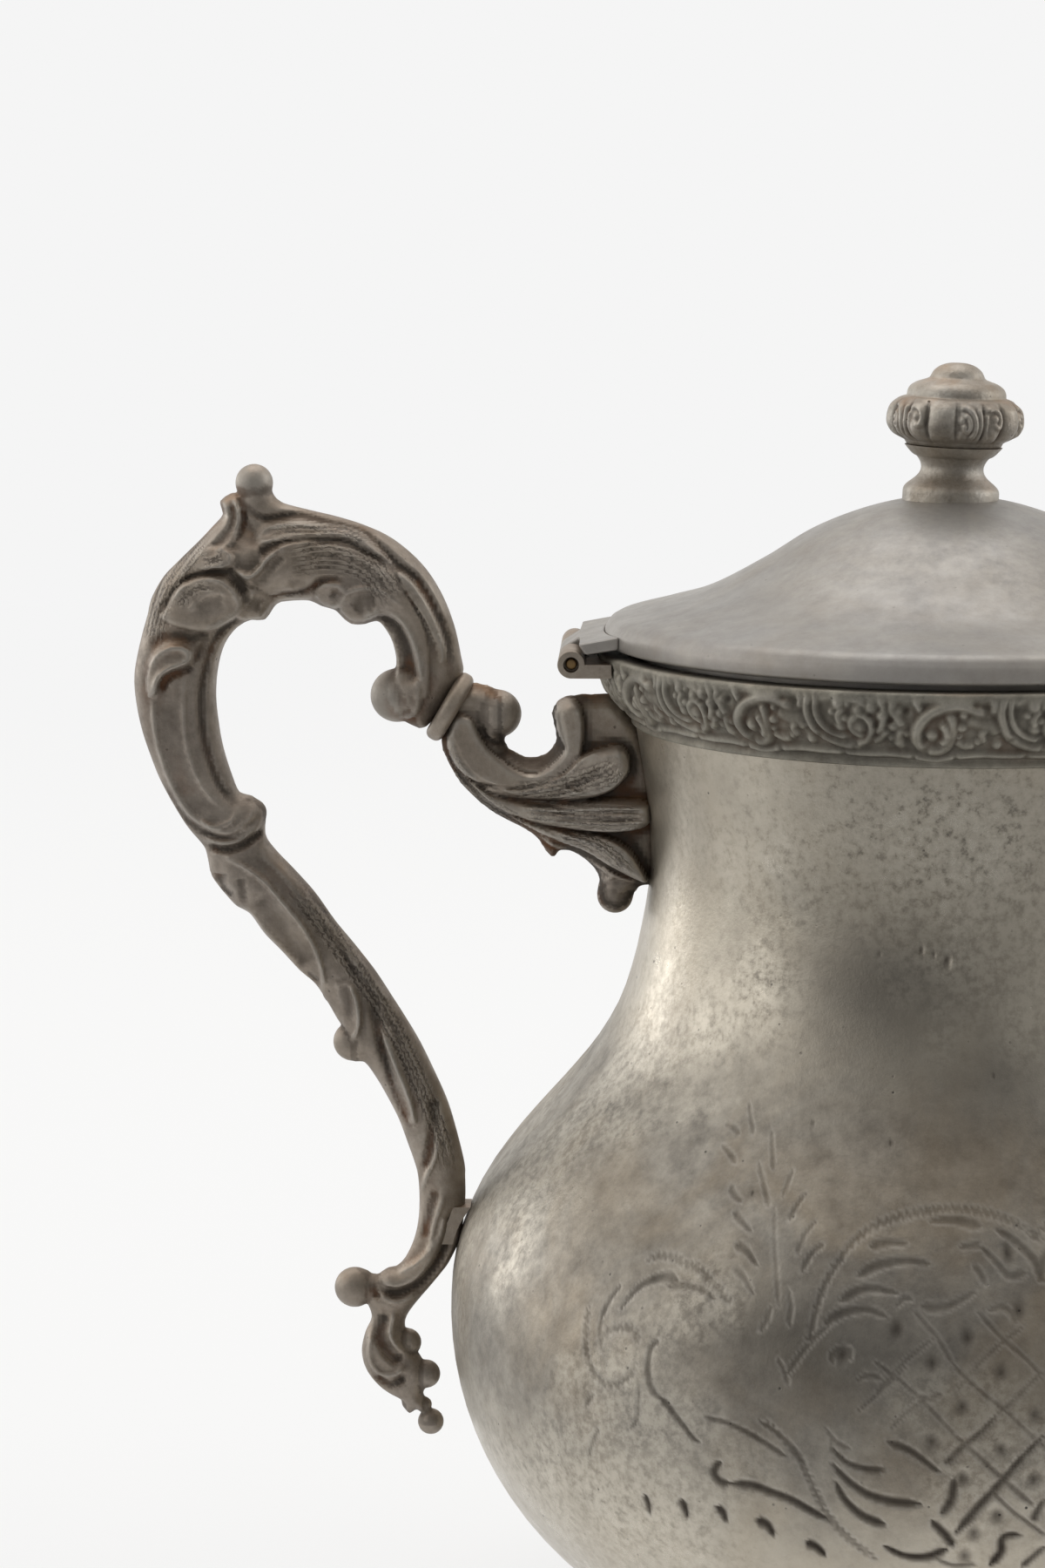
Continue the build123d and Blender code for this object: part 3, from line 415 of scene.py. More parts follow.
def pewter(name, bright, dull, rough=0.45, metal=0.85, patches=1.0, warm=0.35, grain=0.05, soil=0.0):
    """Old pewter. Broad clouds and fine mottling between a bright and a dull grey, a crystalline
    speckle where the skin has worn through, small dark pits, and brown soil where the piece says."""
    made = bpy.data.materials.new(name)
    made.use_nodes = True
    tree = made.node_tree
    tree.nodes.clear()
    place = add(tree, "ShaderNodeTexCoord").outputs["Object"]
    mm = add(tree, "ShaderNodeVectorMath", {0: place, "Scale": 1 / MM}, operation="SCALE").outputs[0]
    clouds = noise(tree, mm, 0.028, 3.0, 0.5)
    mottle = noise(tree, mm, 0.2, 9.0, 0.72)
    fine = noise(tree, mm, 1.5, 4.0, 0.7)
    both = maths(tree, "MULTIPLY_ADD", clouds, 0.6, mottle)
    grey = blend(tree, ramp(tree, both, 0.6, 1.0), dull, bright)
    # a brown tinge drifts over the grey
    drift = noise(tree, mm, 0.045, 5.0, 0.62, Distortion=0.6)
    base = blend(tree, ramp(tree, drift, 0.42, 0.68, 0.0, warm), grey, "94836a")
    # worn patches: a light speckle, where the clouds are thin or the piece says so
    crusted = kept_value(tree, "crust")
    thin = ramp(tree, clouds, 0.5, 0.62, 0.0, 0.6 * patches)
    where = maths(tree, "ADD", thin, crusted, clamp=True)
    crust = noise(tree, mm, 0.7, 6.0, 0.68)
    speck = ramp(tree, crust, 0.42, 0.59, 0.0, 0.85)
    lit = maths(tree, "MULTIPLY", where, speck)
    # rubbing makes the metal smoother, and a pale tint paints the reflection of the pale floor on the lower
    # belly and neck
    rubbed_and_sheen = kept_value(tree, "polish_and_floor_sheen")
    pale = blend(tree, maths(tree, "MULTIPLY", rubbed_and_sheen, 0.55), base, "c8bfae")
    # broad smoky tarnish and a painted dark reflection of the room in front lie under the worn speckle
    smoke_and_reflection = kept_value(tree, "tarnish_and_dark_reflection")
    tarnished_and_reflected = blend(tree, maths(tree, "MULTIPLY", smoke_and_reflection, 0.8), pale, "57544f")
    worn = blend(tree, lit, tarnished_and_reflected, "cbc4b6")
    # pits, and dark stains between the speckles
    cells = add(tree, "ShaderNodeTexVoronoi", {"Vector": mm, "Scale": 0.42, "Randomness": 1.0})
    holes = ramp(tree, cells.outputs["Distance"], 0.05, 0.11, 1.0, 0.0)
    some = ramp(tree, mottle, 0.5, 0.6)
    pits = maths(tree, "MULTIPLY", holes, some)
    stain = ramp(tree, crust, 0.45, 0.32, 0.0, 0.7)
    leopard = maths(tree, "ADD", crusted, 0.16 * patches, clamp=True)
    stains = maths(tree, "MULTIPLY", stain, leopard)
    aged = maths(tree, "MULTIPLY_ADD", pits, min(1.0, 0.3 + patches), stains, clamp=True)
    pitted = blend(tree, aged, worn, "4b4844")
    # soil and tarnish held in cuts and hollows, and painted shade in the broad sunk places of castings
    held_soil_and_shade = kept_value(tree, "hollow_soil_and_shade")
    # painted glints beside the wall's cuts, and rubbed wear on raised places, lighten the colour
    rub_and_glint = kept_value(tree, "ridge_wear_and_glint")
    bare = blend(tree, rub_and_glint, blend(tree, held_soil_and_shade, pitted, "3a332d"), "a9a49c")
    rust = noise(tree, mm, 0.11, 5.0, 0.6)
    brown = ramp(tree, rust, 0.5, 0.66, 0.0, soil)
    colour = blend(tree, maths(tree, "MULTIPLY", brown, held_soil_and_shade), bare, "7a5030")
    # rust dust lies on ledges
    facing = add(tree, "ShaderNodeNewGeometry")
    upright = add(tree, "ShaderNodeSeparateXYZ", {0: facing.outputs["Normal"]})
    level = ramp(tree, upright.outputs["Z"], 0.3, 0.9, 0.0, 0.7)
    lying = maths(tree, "ADD", brown, 0.35 * soil)
    ledge = blend(tree, maths(tree, "MULTIPLY", level, lying), colour, "a38468")
    # crust and rubbing make it smoother, soil rougher
    matt = ramp(tree, mottle, 0.35, 0.65, rough + 0.08, rough - 0.04)
    gloss = maths(tree, "MULTIPLY_ADD", lit, -0.1, matt)
    sleek = maths(tree, "MULTIPLY_ADD", rubbed_and_sheen, -0.14, gloss)
    dry = maths(tree, "MULTIPLY_ADD", held_soil_and_shade, 0.3, sleek)
    height = maths(tree, "MULTIPLY_ADD", pits, -1.2, fine)
    # fine broken lines milled into the leaves of a casting
    milled = kept_value(tree, "milled")
    phase = kept_value(tree, "phase")
    wave = maths(tree, "SINE", maths(tree, "MULTIPLY_ADD", mottle, 5.0, phase))
    broken = ramp(tree, fine, 0.35, 0.6, 0.3, 1.0)
    ribs = maths(tree, "MULTIPLY", maths(tree, "MULTIPLY", wave, broken), milled)
    # painted glints on the crests of the milled lines, and dirt with painted shade in their furrows
    furrow_dirt_and_shade = maths(tree, "MULTIPLY", ribs, -0.75, clamp=True)
    crest_glint = maths(tree, "MULTIPLY", ribs, 0.4, clamp=True)
    lined = blend(tree, crest_glint, blend(tree, furrow_dirt_and_shade, ledge, "2f2a26"), "b0a99e")
    relief = maths(tree, "MULTIPLY_ADD", ribs, 1.5, height)
    bump = add(tree, "ShaderNodeBump", {"Height": relief, "Distance": grain * MM, "Strength": 1.0})
    shader = add(tree, "ShaderNodeBsdfPrincipled", {"Base Color": lined, "Metallic": metal, "Roughness": dry,
                                                    "Normal": bump.outputs[0]})
    add(tree, "ShaderNodeOutputMaterial", {"Surface": shader.outputs[0]})
    return made


def pear_outline():
    """The wall's outline from the bottom plate to the rim, as close radius and height points."""
    turn = np.radians(np.linspace(-90, 0, 60, endpoint=False))
    middle = (BELLY_R - BELLY_ARC, BELLY_Z)
    lower = np.stack([middle[0] + BELLY_ARC * np.cos(turn), middle[1] + BELLY_ARC * np.sin(turn)], 1)
    step, climb = BELLY_R - NECK_R, NECK_Z - BELLY_Z
    shoulder = [(NECK_R + out * step, BELLY_Z + rise * climb) for out, rise in SHOULDER]
    curve = fair_curve([(BELLY_R, BELLY_Z), *shoulder, (NECK_R, NECK_Z), BAND_FOOT, WALL_TOP], BELLY_START,
                       RIM_FLARE)
    pear = [(round(np.interp(z, curve[:, 1], curve[:, 0]), 2), z) for z in SHOULDER_RINGS]
    return np.vstack([lower, flow(pear, 0.8)])


def on_wall(pixels):
    """Angle round from the front and height at which the wall shows in pixels of the photograph."""
    found = []
    for x, y in pixels:
        line = eye + sight(x, y) * np.linspace(SIGHT_FROM, SIGHT_TO, SIGHT_STEPS)[:, None]
        outside = np.hypot(line[:, 0], line[:, 1]) - np.interp(line[:, 2], outline[:, 1], outline[:, 0])
        k = np.nonzero(outside <= 0)[0][0]
        share = outside[k - 1] / (outside[k - 1] - outside[k])
        spot = line[k - 1] + (line[k] - line[k - 1]) * share
        found.append((round(np.degrees(np.arctan2(-spot[0], -spot[1])), 1), round(spot[2], 1)))
    return found


def halve(wide, high, close):
    """Split flags of a sheet's cells, level by level, so that neighbours differ by one level at most."""
    flags = []
    for level in range(COARSE - 1, -1, -1):
        columns, rows = wide << level, high << level
        split = close(columns, rows)
        if flags:
            finer = flags[0]
            spread = np.zeros_like(finer)
            for dx in (-1, 0, 1):
                moved = np.roll(finer, dx, 0)
                for dy in (-1, 0, 1):
                    spread |= moved if dy == 0 else np.pad(moved[:, 1:] if dy > 0 else moved[:, :-1],
                                                           ((0, 0), (0, 1) if dy > 0 else (1, 0)))
            split |= spread.reshape(columns, 2, rows, 2).any((1, 3))
        flags.insert(0, split)
    return flags


def refined_sheet(wide, high, close):
    """Triangles of a sheet that closes on itself sideways, fine beside the cuts: two for a cell whose
    neighbours are as coarse, a fan round its middle beside finer ones. Places are in half cells of the
    finest level."""
    flags = halve(wide, high, close)
    corners = []
    for level in range(COARSE + 1):
        columns, rows = wide << level, high << level
        exists = np.ones((columns, rows), bool) if level == 0 else \
            flags[level - 1].repeat(2, 0).repeat(2, 1)
        split = flags[level] if level < COARSE else np.zeros((columns, rows), bool)
        i, j = np.nonzero(exists & ~split)
        size = 2 << (COARSE - level)
        x, y = i * size, j * size
        middle = np.stack([x + size // 2, y + size // 2], 1)
        ring = [(0, 0), (1, 0), (1, 1), (0, 1)]
        sides = [(0, -1), (1, 0), (0, 1), (-1, 0)]
        whole = np.ones(len(i), bool)
        for across, up in sides:
            ni, nj = (i + across) % columns, j + up
            whole &= ~((nj >= 0) & (nj < rows) & split[ni, np.clip(nj, 0, rows - 1)])
        at = [np.stack([x + a * size, y + b * size], 1)[whole] for a, b in ring]
        corners += [np.stack([at[0], at[1], at[2]], 1), np.stack([at[0], at[2], at[3]], 1)]
        for k in range(4):
            a = np.stack([x + ring[k][0] * size, y + ring[k][1] * size], 1)
            b = np.stack([x + ring[(k + 1) % 4][0] * size, y + ring[(k + 1) % 4][1] * size], 1)
            ni, nj = (i + sides[k][0]) % columns, j + sides[k][1]
            inside = (nj >= 0) & (nj < rows)
            hangs = inside & split[ni, np.clip(nj, 0, rows - 1)]
            half = (a + b) // 2
            plain, hangs = ~hangs & ~whole, hangs & ~whole
            corners.append(np.stack([middle[plain], a[plain], b[plain]], 1))
            corners.append(np.stack([middle[hangs], a[hangs], half[hangs]], 1))
            corners.append(np.stack([middle[hangs], half[hangs], b[hangs]], 1))
    corners = np.concatenate(corners)
    around = wide * (2 << COARSE)
    corners[..., 0] %= around
    key = corners[..., 0].astype(np.int64) * (high * (2 << COARSE) + 1) + corners[..., 1]
    unique, faces = np.unique(key.ravel(), return_inverse=True)
    places = np.stack([unique // (high * (2 << COARSE) + 1), unique % (high * (2 << COARSE) + 1)], 1)
    return places, faces.reshape(-1, 3)


outline = pear_outline()
travel = np.concatenate([[0], np.cumsum(np.hypot(*np.diff(outline, axis=0).T))])
slope = np.gradient(outline, travel, axis=0)
around_cells = int(2 * np.pi * outline[:, 0].max() / SHEET_CELL / 2) * 2
around_cells = int(2 * np.pi * outline[:, 0].max() / SHEET_CELL / 2) * 2
up_cells = int(travel[-1] / SHEET_CELL)


def mirrored(line):
    """A line of the engraving on the other side of the panel's middle."""
    return [(2 * PANEL_MIDDLE - angle, z) for angle, z in line]


def flat(line):
    """Angles and heights as distances on the unrolled wall."""
    return np.array([(radians(a) * MEAN_R, z) for a, z in line])


cuts = [(a, b, deep, on_wall(line)) for a, b, deep, line in CUTS]
cuts += [(a, b, deep, mirrored(line)) for a, b, deep, line in cuts]
cut_lines = [(a, b, deep, flow(flat(line), 0.6)) for a, b, deep, line in cuts]
rows = [on_wall(row) for row in WRIGGLES]
for row in rows + [mirrored(row) for row in rows]:
    # the tool is rocked from side to side as it is pushed along, which leaves a zigzag
    line = flow(flat(row), 0.55)
    side = np.gradient(line, axis=0)
    side = np.stack([-side[:, 1], side[:, 0]], 1) / np.hypot(side[:, 0], side[:, 1])[:, None]
    swing = np.where(np.arange(len(line)) % 2, ROCK, -ROCK)[:, None]
    cut_lines.append((*TOOL_CUT, line + side * swing))
dots = on_wall(DOTS)
beads = [(u, z, DOT_SIZE, DOT_DEEP) for u, z in flat(dots + mirrored(dots))]
beads += [(*flat(on_wall([spot]))[0], size, deep) for spot, size, deep in BLEMISHES]


def unrolled(share_around, share_up):
    """Distance round from the nearer panel's front, and height, of places given as shares."""
    angle = (share_around * 360 + 180) % 360 - 180
    back = np.abs(angle) > 90
    angle = np.where(back, np.where(angle > 0, 180 - angle, -180 - angle), angle)
    height = np.interp(share_up * travel[-1], travel, outline[:, 1])
    return np.radians(angle) * MEAN_R, height


def near_cut(columns, rows):
    """Whether a cut passes close to each cell of a sheet of columns by rows."""
    u, z = unrolled(*[g.ravel() for g in np.meshgrid((np.arange(columns) + 0.5) / columns,
                                                     (np.arange(rows) + 0.5) / rows, indexing="ij")])
    found = np.zeros(columns * rows, bool)
    reach = 0.75 * travel[-1] / rows + 0.45
    for a, b, deep, line in cut_lines:
        found[beside(u, z, line, reach + max(a, b) / 2)[0]] = True
    for bu, bz, size, deep in beads:
        found[(np.abs(u - bu) < reach + size / 2) & (np.abs(z - bz) < reach + size / 2)] = True
    return found.reshape(columns, rows)


places, faces = refined_sheet(around_cells, up_cells, near_cut)
share_u = places[:, 0] / (around_cells * (2 << COARSE))
share_v = places[:, 1] / (up_cells * (2 << COARSE))
u, z = unrolled(share_u, share_v)
depth = np.zeros(len(u))
cut_edge_glint = np.zeros(len(u))
stained = np.zeros(len(u))
for a, b, deep, line in cut_lines:
    hit, gap, along = beside(u, z, line, CUT_REACH)
    half = (a + (b - a) * along) * 0.72 * np.clip(np.minimum(along, 1 - along) * 7 + 0.2, 0, 1)
    depth[hit] = np.maximum(depth[hit], deep * np.clip(1.25 * (1 - gap / (half + 0.08)), 0, 1))
    soil = np.clip(1.3 - 1.1 * gap / (half + 0.12), 0, 1) * min(deep * 4.2, 1)
    stained[hit] = np.maximum(stained[hit], soil)
    # a painted glint in a narrow band just outside the cut, where its bright-cut facet would catch the light
    cut_edge_glint[hit] = np.maximum(cut_edge_glint[hit], np.exp(-((gap - half - 0.2) / 0.16) ** 2))
# rubbing has worn the cuts down on the upper half of the belly
kept = np.interp(z, [42, 72], [1, 0.8])
depth *= kept
cut_edge_glint *= kept
stained *= np.interp(z, [42, 60, 75], [1, 0.7, 0.45])
for bu, bz, size, deep in beads:
    hit = np.nonzero((np.abs(u - bu) < size) & (np.abs(z - bz) < size))[0]
    gap = np.hypot(u[hit] - bu, (z[hit] - bz) * 0.8) / (size * 0.62)
    depth[hit] = np.maximum(depth[hit], deep * np.clip(1.1 - gap, 0, 1))
    stained[hit] = np.maximum(stained[hit], np.clip(1.0 - gap, 0, 1) * 0.8)
# dark zones: tarnish mixed with a painted dark reflection of the room in front; light zones: worn crust
zones = []
for group in (TARNISH_AND_DARK_REFLECTION, CRUST):
    amount = np.zeros(len(u))
    for spot, wide, tall, most in group:
        (mid_u, mid_z), = flat(on_wall([spot]))
        away = ((u - mid_u) / (radians(wide) * MEAN_R)) ** 2 + ((z - mid_z) / tall) ** 2
        amount = np.maximum(amount, most * np.exp(-1.6 * away))
    zones.append(amount)
along = share_v * travel[-1]
radius, height = [np.interp(along, travel, outline[:, k]) for k in (0, 1)]
lean_r, lean_z = [np.interp(along, travel, slope[:, k]) for k in (0, 1)]
length = np.hypot(lean_r, lean_z)
turn = share_u * 2 * np.pi
# shallow dents from long use
dent = 0.07 * np.sin(3 * turn + 0.06 * height) * np.sin(0.045 * height + 1.3)
dent += 0.04 * np.sin(7 * turn - 0.11 * height)
inset = depth + np.where((height < 150) & (height > 20), np.abs(dent), 0)
r_out = radius - inset * lean_z / length
z_out = height + inset * lean_r / length
outer = np.stack([-r_out * np.sin(turn), -r_out * np.cos(turn), z_out], 1)
# inner face and the two edges
rings = np.linspace(0, travel[-1], up_cells + 1)
ir, iz = [np.interp(rings, travel, outline[:, k]) for k in (0, 1)]
lr, lz = [np.interp(rings, travel, slope[:, k]) for k in (0, 1)]
ll = np.hypot(lr, lz)
ir, iz = ir - SHEET * lz / ll, iz + SHEET * lr / ll
ir[0], iz[0] = BELLY_R - BELLY_ARC, BELLY_Z - BELLY_ARC + SHEET
iz[-1] = WALL_TOP[1]
spin = np.arange(around_cells) / around_cells * 2 * np.pi
inner = np.stack([-ir[:, None] * np.sin(spin), -ir[:, None] * np.cos(spin),
                  np.broadcast_to(iz[:, None], (len(ir), len(spin)))], 2).reshape(-1, 3)
start = len(outer)
n = around_cells
i, j = [g.ravel() for g in np.meshgrid(np.arange(n), np.arange(len(ir) - 1))]
a, b = start + j * n + i, start + j * n + (i + 1) % n
inner_faces = np.concatenate([np.stack([a, b, b + n], 1), np.stack([a, b + n, a + n], 1)])
step = 2 << COARSE
row_of = {}
for k, (pu, pv) in enumerate(places):
    if pv in (0, up_cells * step) and pu % step == 0:
        row_of[(pu // step, pv)] = k
edge = []
for k in range(n):
    for pv, ring in ((0, 0), (up_cells * step, len(ir) - 1)):
        o1, o2 = row_of[(k, pv)], row_of[((k + 1) % n, pv)]
        i1, i2 = start + ring * n + k, start + ring * n + (k + 1) % n
        edge += [(o1, i2, i1), (o1, o2, i2)] if ring == 0 else [(o1, i1, i2), (o1, i2, o2)]
spun = pewter("spun_pewter", "a19b90", "726d66", patches=0.8, rough=0.46)
wall = new_piece("pot_wall", np.vstack([outer, inner]), np.vstack([faces[:, ::-1], inner_faces, edge]), spun)
# the lower belly and the neck: rubbed smooth, and lightened with a painted reflection of the pale floor
polish_and_floor_sheen = np.interp(height, [20, 38, 56, 95, 112], [1.2, 1.1, 0, 0, 0.9])
# the painted glints beside the cuts lighten the colour where no soil lies
ridge_wear_and_glint = cut_edge_glint * 0.4 * (stained < 0.2)
# the wall's inner face gets a steady share of the tarnish and painted dark reflection
for name, values, inside in (("hollow_soil_and_shade", stained, 0), ("tarnish_and_dark_reflection", zones[0], 0.6), ("crust", zones[1], 0),
                             ("polish_and_floor_sheen", polish_and_floor_sheen, 0), ("ridge_wear_and_glint", ridge_wear_and_glint, 0)):
    keep_values(wall, name, np.concatenate([values, np.full(len(inner), inside)]))
# Strainer: rings of round holes through the wall where the spout is soldered on
STRAINER_HOLE_R = 1.3
STRAINER_Z = 61.0
STRAINER = [(0.0, 1), (4.0, 6), (7.8, 12)]      # radius and number of holes of each ring
DRILL_X = 72.0              # middle of the drill, on the spout's side
DRILL_LONG = 20.0
drill = bmesh.new()
for ring, count in STRAINER:
    for turn in np.arange(count) / count * 2 * np.pi:
        spot = (DRILL_X * MM, ring * cos(turn) * MM, (STRAINER_Z + ring * sin(turn)) * MM)
        lying = Matrix.Translation(spot) @ Matrix.Rotation(radians(90), 4, "Y")
        bmesh.ops.create_cone(drill, cap_ends=True, segments=24, radius1=STRAINER_HOLE_R * MM,
                              radius2=STRAINER_HOLE_R * MM, depth=DRILL_LONG * MM, matrix=lying)
drill_mesh = bpy.data.meshes.new("drill")
drill.to_mesh(drill_mesh)
drill.free()
drill = bpy.data.objects.new("drill", drill_mesh)
bpy.context.scene.collection.objects.link(drill)
cutting = wall.modifiers.new("strainer", "BOOLEAN")
cutting.object = drill
cutting.operation = "DIFFERENCE"
cutting.solver = "MANIFOLD"
drilled = bpy.data.meshes.new_from_object(wall.evaluated_get(bpy.context.evaluated_depsgraph_get()))
wall.modifiers.remove(cutting)
wall.data = drilled
bpy.data.objects.remove(drill)
settle(wall, "pot", "body_shell")

# Bottom plate: a plain spun disc, soldered in under the wall. It isn't in the photograph.
clad("bottom_plate", spun)

# Foot ring: a plain ring that the pot stands on, soldered under the belly. It isn't in the photograph.
clad("foot_ring", spun)

# Spout: a hollow S-curved casting in two halves, soldered along the seam and to the wall over the
# strainer. It isn't in the photograph and stays plain, as most of its kind.
clad("spout_near_half", spun)
clad("spout_far_half", spun)

# Rim band: cast pewter, soldered round the top of the neck. One stretch of scrolled leafwork, berries
# and a grotesque comes twelve times round, under a plain lip.
BAND_REPEATS = 12
BAND_PATTERN_R = 51.5       # radius at which the pattern is laid out
BAND_START = 9.9            # angle round from the front at which a stretch of the pattern starts
# Outline of the band's outer face: radius, height
BAND_FACE = [(46.9, 146.6), (48.3, 148.4), (49.9, 150.3), (51.1, 151.8), (51.8, 153.8), (52.0, 156.0)]
BAND_BACK = [(48.4, 157.5), (48.4, 156.4), (50.1, 156.1), (49.1, 154.0), (47.7, 151.0), (46.65, 147.2)]
BAND_LIP = [(52.0, 156.9), (51.8, 157.4), (51.3, 157.5)]
BAND_GROUND = 0.75          # depth of the ground below the lip
BAND_COLUMNS = 112          # points across one stretch of the pattern
WELD = 0.02                 # distance within which the wedges of a ring are joined
# Ridges: half width, height, points round and up from the band's lower edge
BAND_RIDGES = [
    (0.88, 0.86, [(1.8, 1.7), (0.6, 3.2), (0.6, 4.8), (1.3, 6.2), (2.4, 7.4), (4.1, 8.2), (6.2, 8.6),
     (8.3, 8.1), (10, 7.3)]),
    (0.74, 0.69, [(5, 7.7), (5.5, 6.1), (5.5, 4.1), (4.9, 2.5), (3.5, 1.6), (1.8, 1.7)]),
    (0.74, 0.8, [(4.2, 5.9), (4.8, 4.7), (4.8, 3.5), (4, 2.6)]),
    (1.08, 0.46, [(7.6, 6.8), (9.3, 6.1), (10.9, 5.6), (11.8, 4.4)]),
    (0.61, 0.69, [(10.7, 9.5), (11.2, 8.7), (11, 7.6)]),
    (0.74, 0.83, [(12.4, 9.5), (12.1, 7.7), (12.5, 5.7), (13.3, 4.2), (14.8, 3.1), (17, 2.3),
     (18.7, 2.2)]),
    (0.51, 0.69, [(13.4, 9.2), (13.3, 7.3), (14, 5.4), (15.5, 4), (17.7, 3.3)]),
    (0.61, 0.57, [(-3.5, 4.7), (-4.4, 3.6), (-5.6, 2.9)]),
    (0.47, 0.63, [(0, 9.6), (0.6, 8.7), (1.2, 7.8)]),
    (0.68, 0.57, [(-2.6, 8.9), (-2.8, 7.8), (-2.1, 6.8), (-1.3, 5.4)]),
    (0.54, 0.57, [(-9.6, 7.9), (-10.4, 6.7), (-10.1, 5.5)]),
    (0.61, 0.57, [(6, 3.2), (7.2, 2.5), (8.6, 2.6)]),
    (0.5, 0.6, [(-10.5, 1), (-7, 0.9), (-3, 1), (0, 0.7)]),
    (0.5, 0.6, [(0, 0.7), (3, 0.3), (6, 0.8)]),
    (0.5, 0.6, [(6, 0.8), (10, 1.1), (13, 1), (16.5, 1)]),
    (0.6, 0.6, [(18.7, 2.2), (20.6, 3.2), (21.4, 5), (20.6, 6.6), (18.9, 7)]),
    (0.5, 0.55, [(13.9, 8.9), (15.2, 9.3), (17, 9.4), (19.3, 8.9), (21, 8)]),
    (0.6, 0.55, [(22.4, 9.2), (23.2, 7.6), (22.9, 5.8), (22, 4)]),
    (0.55, 0.5, [(10.2, 5.2), (9.6, 4.2), (10, 3)]),
    (0.6, 0.55, [(-6.8, 3.4), (-8.2, 4.3), (-8.6, 5.8), (-7.6, 6.8)]),
    (0.5, 0.5, [(-10.8, 2.6), (-9.4, 2), (-7.6, 1.9)]),
    (0.6, 0.5, [(-1.6, 2), (-1.9, 3.6), (-1.4, 5)]),
    (0.5, 0.45, [(11.6, 8.8), (13, 9.5)]),
]
# Berries and eyes: round and up, radius, height; then drilled hollows alike
BAND_BERRIES = [(2.7, 4, 0.86, 0.66), (7, 7.3, 0.57, 0.66), (6.7, 5.4, 0.69, 0.72), (6.4, 3.9, 0.48, 0.55),
                (7.5, 2.5, 0.69, 0.55), (9.1, 3, 0.52, 0.5), (11.9, 2.6, 0.63, 0.55),
                (16.6, 8.4, 0.86, 0.77), (15.7, 7.2, 0.57, 0.55), (17.6, 6.3, 0.57, 0.55),
                (-5.7, 8.1, 0.92, 0.66), (-4.1, 6.9, 0.8, 0.72), (-4.4, 4.9, 0.69, 0.55),
                (-7.5, 7.6, 0.86, 0.55), (-2, 2.8, 0.69, 0.61), (-0.8, 4.2, 0.57, 0.5),
                (-3, 3.5, 0.52, 0.5), (-9.1, 8.4, 0.46, 0.44), (19.4, 4.9, 1, 0.55),
                (16.9, 5, 0.8, 0.5), (24.4, 5.4, 0.8, 0.55), (24.9, 3.2, 0.7, 0.5),
                (25, 7.6, 0.7, 0.5), (9, 8.2, 0.6, 0.4)]
BAND_PITS = [(7.8, 4.1, 0.6, 0.35), (10.7, 3.6, 0.55, 0.35), (9.6, 2.2, 0.5, 0.3), (1.5, 3.2, 0.6, 0.35),
             (8.5, 8.9, 0.7, 0.3), (-0.8, 7.8, 0.6, 0.35), (-3, 6.2, 0.5, 0.3),
             (-5.9, 6.9, 0.45, 0.3), (-5.1, 5.5, 0.55, 0.35), (-7.5, 9.1, 0.6, 0.3),
             (13.7, 3.7, 0.5, 0.3), (3.6, 6.5, 0.5, 0.3)]


def repeated(piece, count, finish):
    """Set copies of a wedge-shaped mesh round the pot's axis until they close, as one plain mesh."""
    tree = bpy.data.node_groups.new(piece.name + "_round", "GeometryNodeTree")
    tree.interface.new_socket("Wedge", in_out="INPUT", socket_type="NodeSocketGeometry")
    copies = tree.interface.new_socket("Copies", in_out="INPUT", socket_type="NodeSocketInt")
    apart = tree.interface.new_socket("Weld", in_out="INPUT", socket_type="NodeSocketFloat")
    tree.interface.new_socket("Ring", in_out="OUTPUT", socket_type="NodeSocketGeometry")
    given = add(tree, "NodeGroupInput")
    line = add(tree, "GeometryNodeMeshLine", {"Count": given.outputs["Copies"], "Offset": (0, 0, 0)})
    place = add(tree, "GeometryNodeInputIndex")
    step = add(tree, "ShaderNodeMath", {0: 2 * np.pi, 1: given.outputs["Copies"]}, operation="DIVIDE")
    angle = add(tree, "ShaderNodeMath", {0: place.outputs[0], 1: step.outputs[0]}, operation="MULTIPLY")
    spin = add(tree, "ShaderNodeCombineXYZ", {"Z": angle.outputs[0]})
    set_out = add(tree, "GeometryNodeInstanceOnPoints", {"Points": line.outputs[0],
                                                         "Instance": given.outputs["Wedge"],
                                                         "Rotation": spin.outputs[0]})
    real = add(tree, "GeometryNodeRealizeInstances", {0: set_out.outputs[0]})
    joined = add(tree, "GeometryNodeMergeByDistance", {"Geometry": real.outputs[0],
                                                       "Distance": given.outputs["Weld"]})
    done = add(tree, "GeometryNodeSetMaterial", {"Geometry": joined.outputs[0], "Material": finish})
    add(tree, "NodeGroupOutput", {0: done.outputs[0]})
    maker = piece.modifiers.new("round", "NODES")
    maker.node_group = tree
    maker[copies.identifier] = count
    maker[apart.identifier] = WELD * MM
    state = bpy.context.evaluated_depsgraph_get()
    ring = bpy.data.meshes.new_from_object(piece.evaluated_get(state))
    piece.modifiers.remove(maker)
    piece.data = ring
    ring.shade_smooth()


def grid_faces(rows, columns, closed_rows=False):
    """Quads of a grid of points stored row by row."""
    strips = np.arange(rows if closed_rows else rows - 1)
    j, i = [g.ravel() for g in np.meshgrid(strips, np.arange(columns - 1), indexing="ij")]
    a, b = j * columns + i, (j + 1) % rows * columns + i
    return np.stack([a, a + 1, b + 1, b], 1)


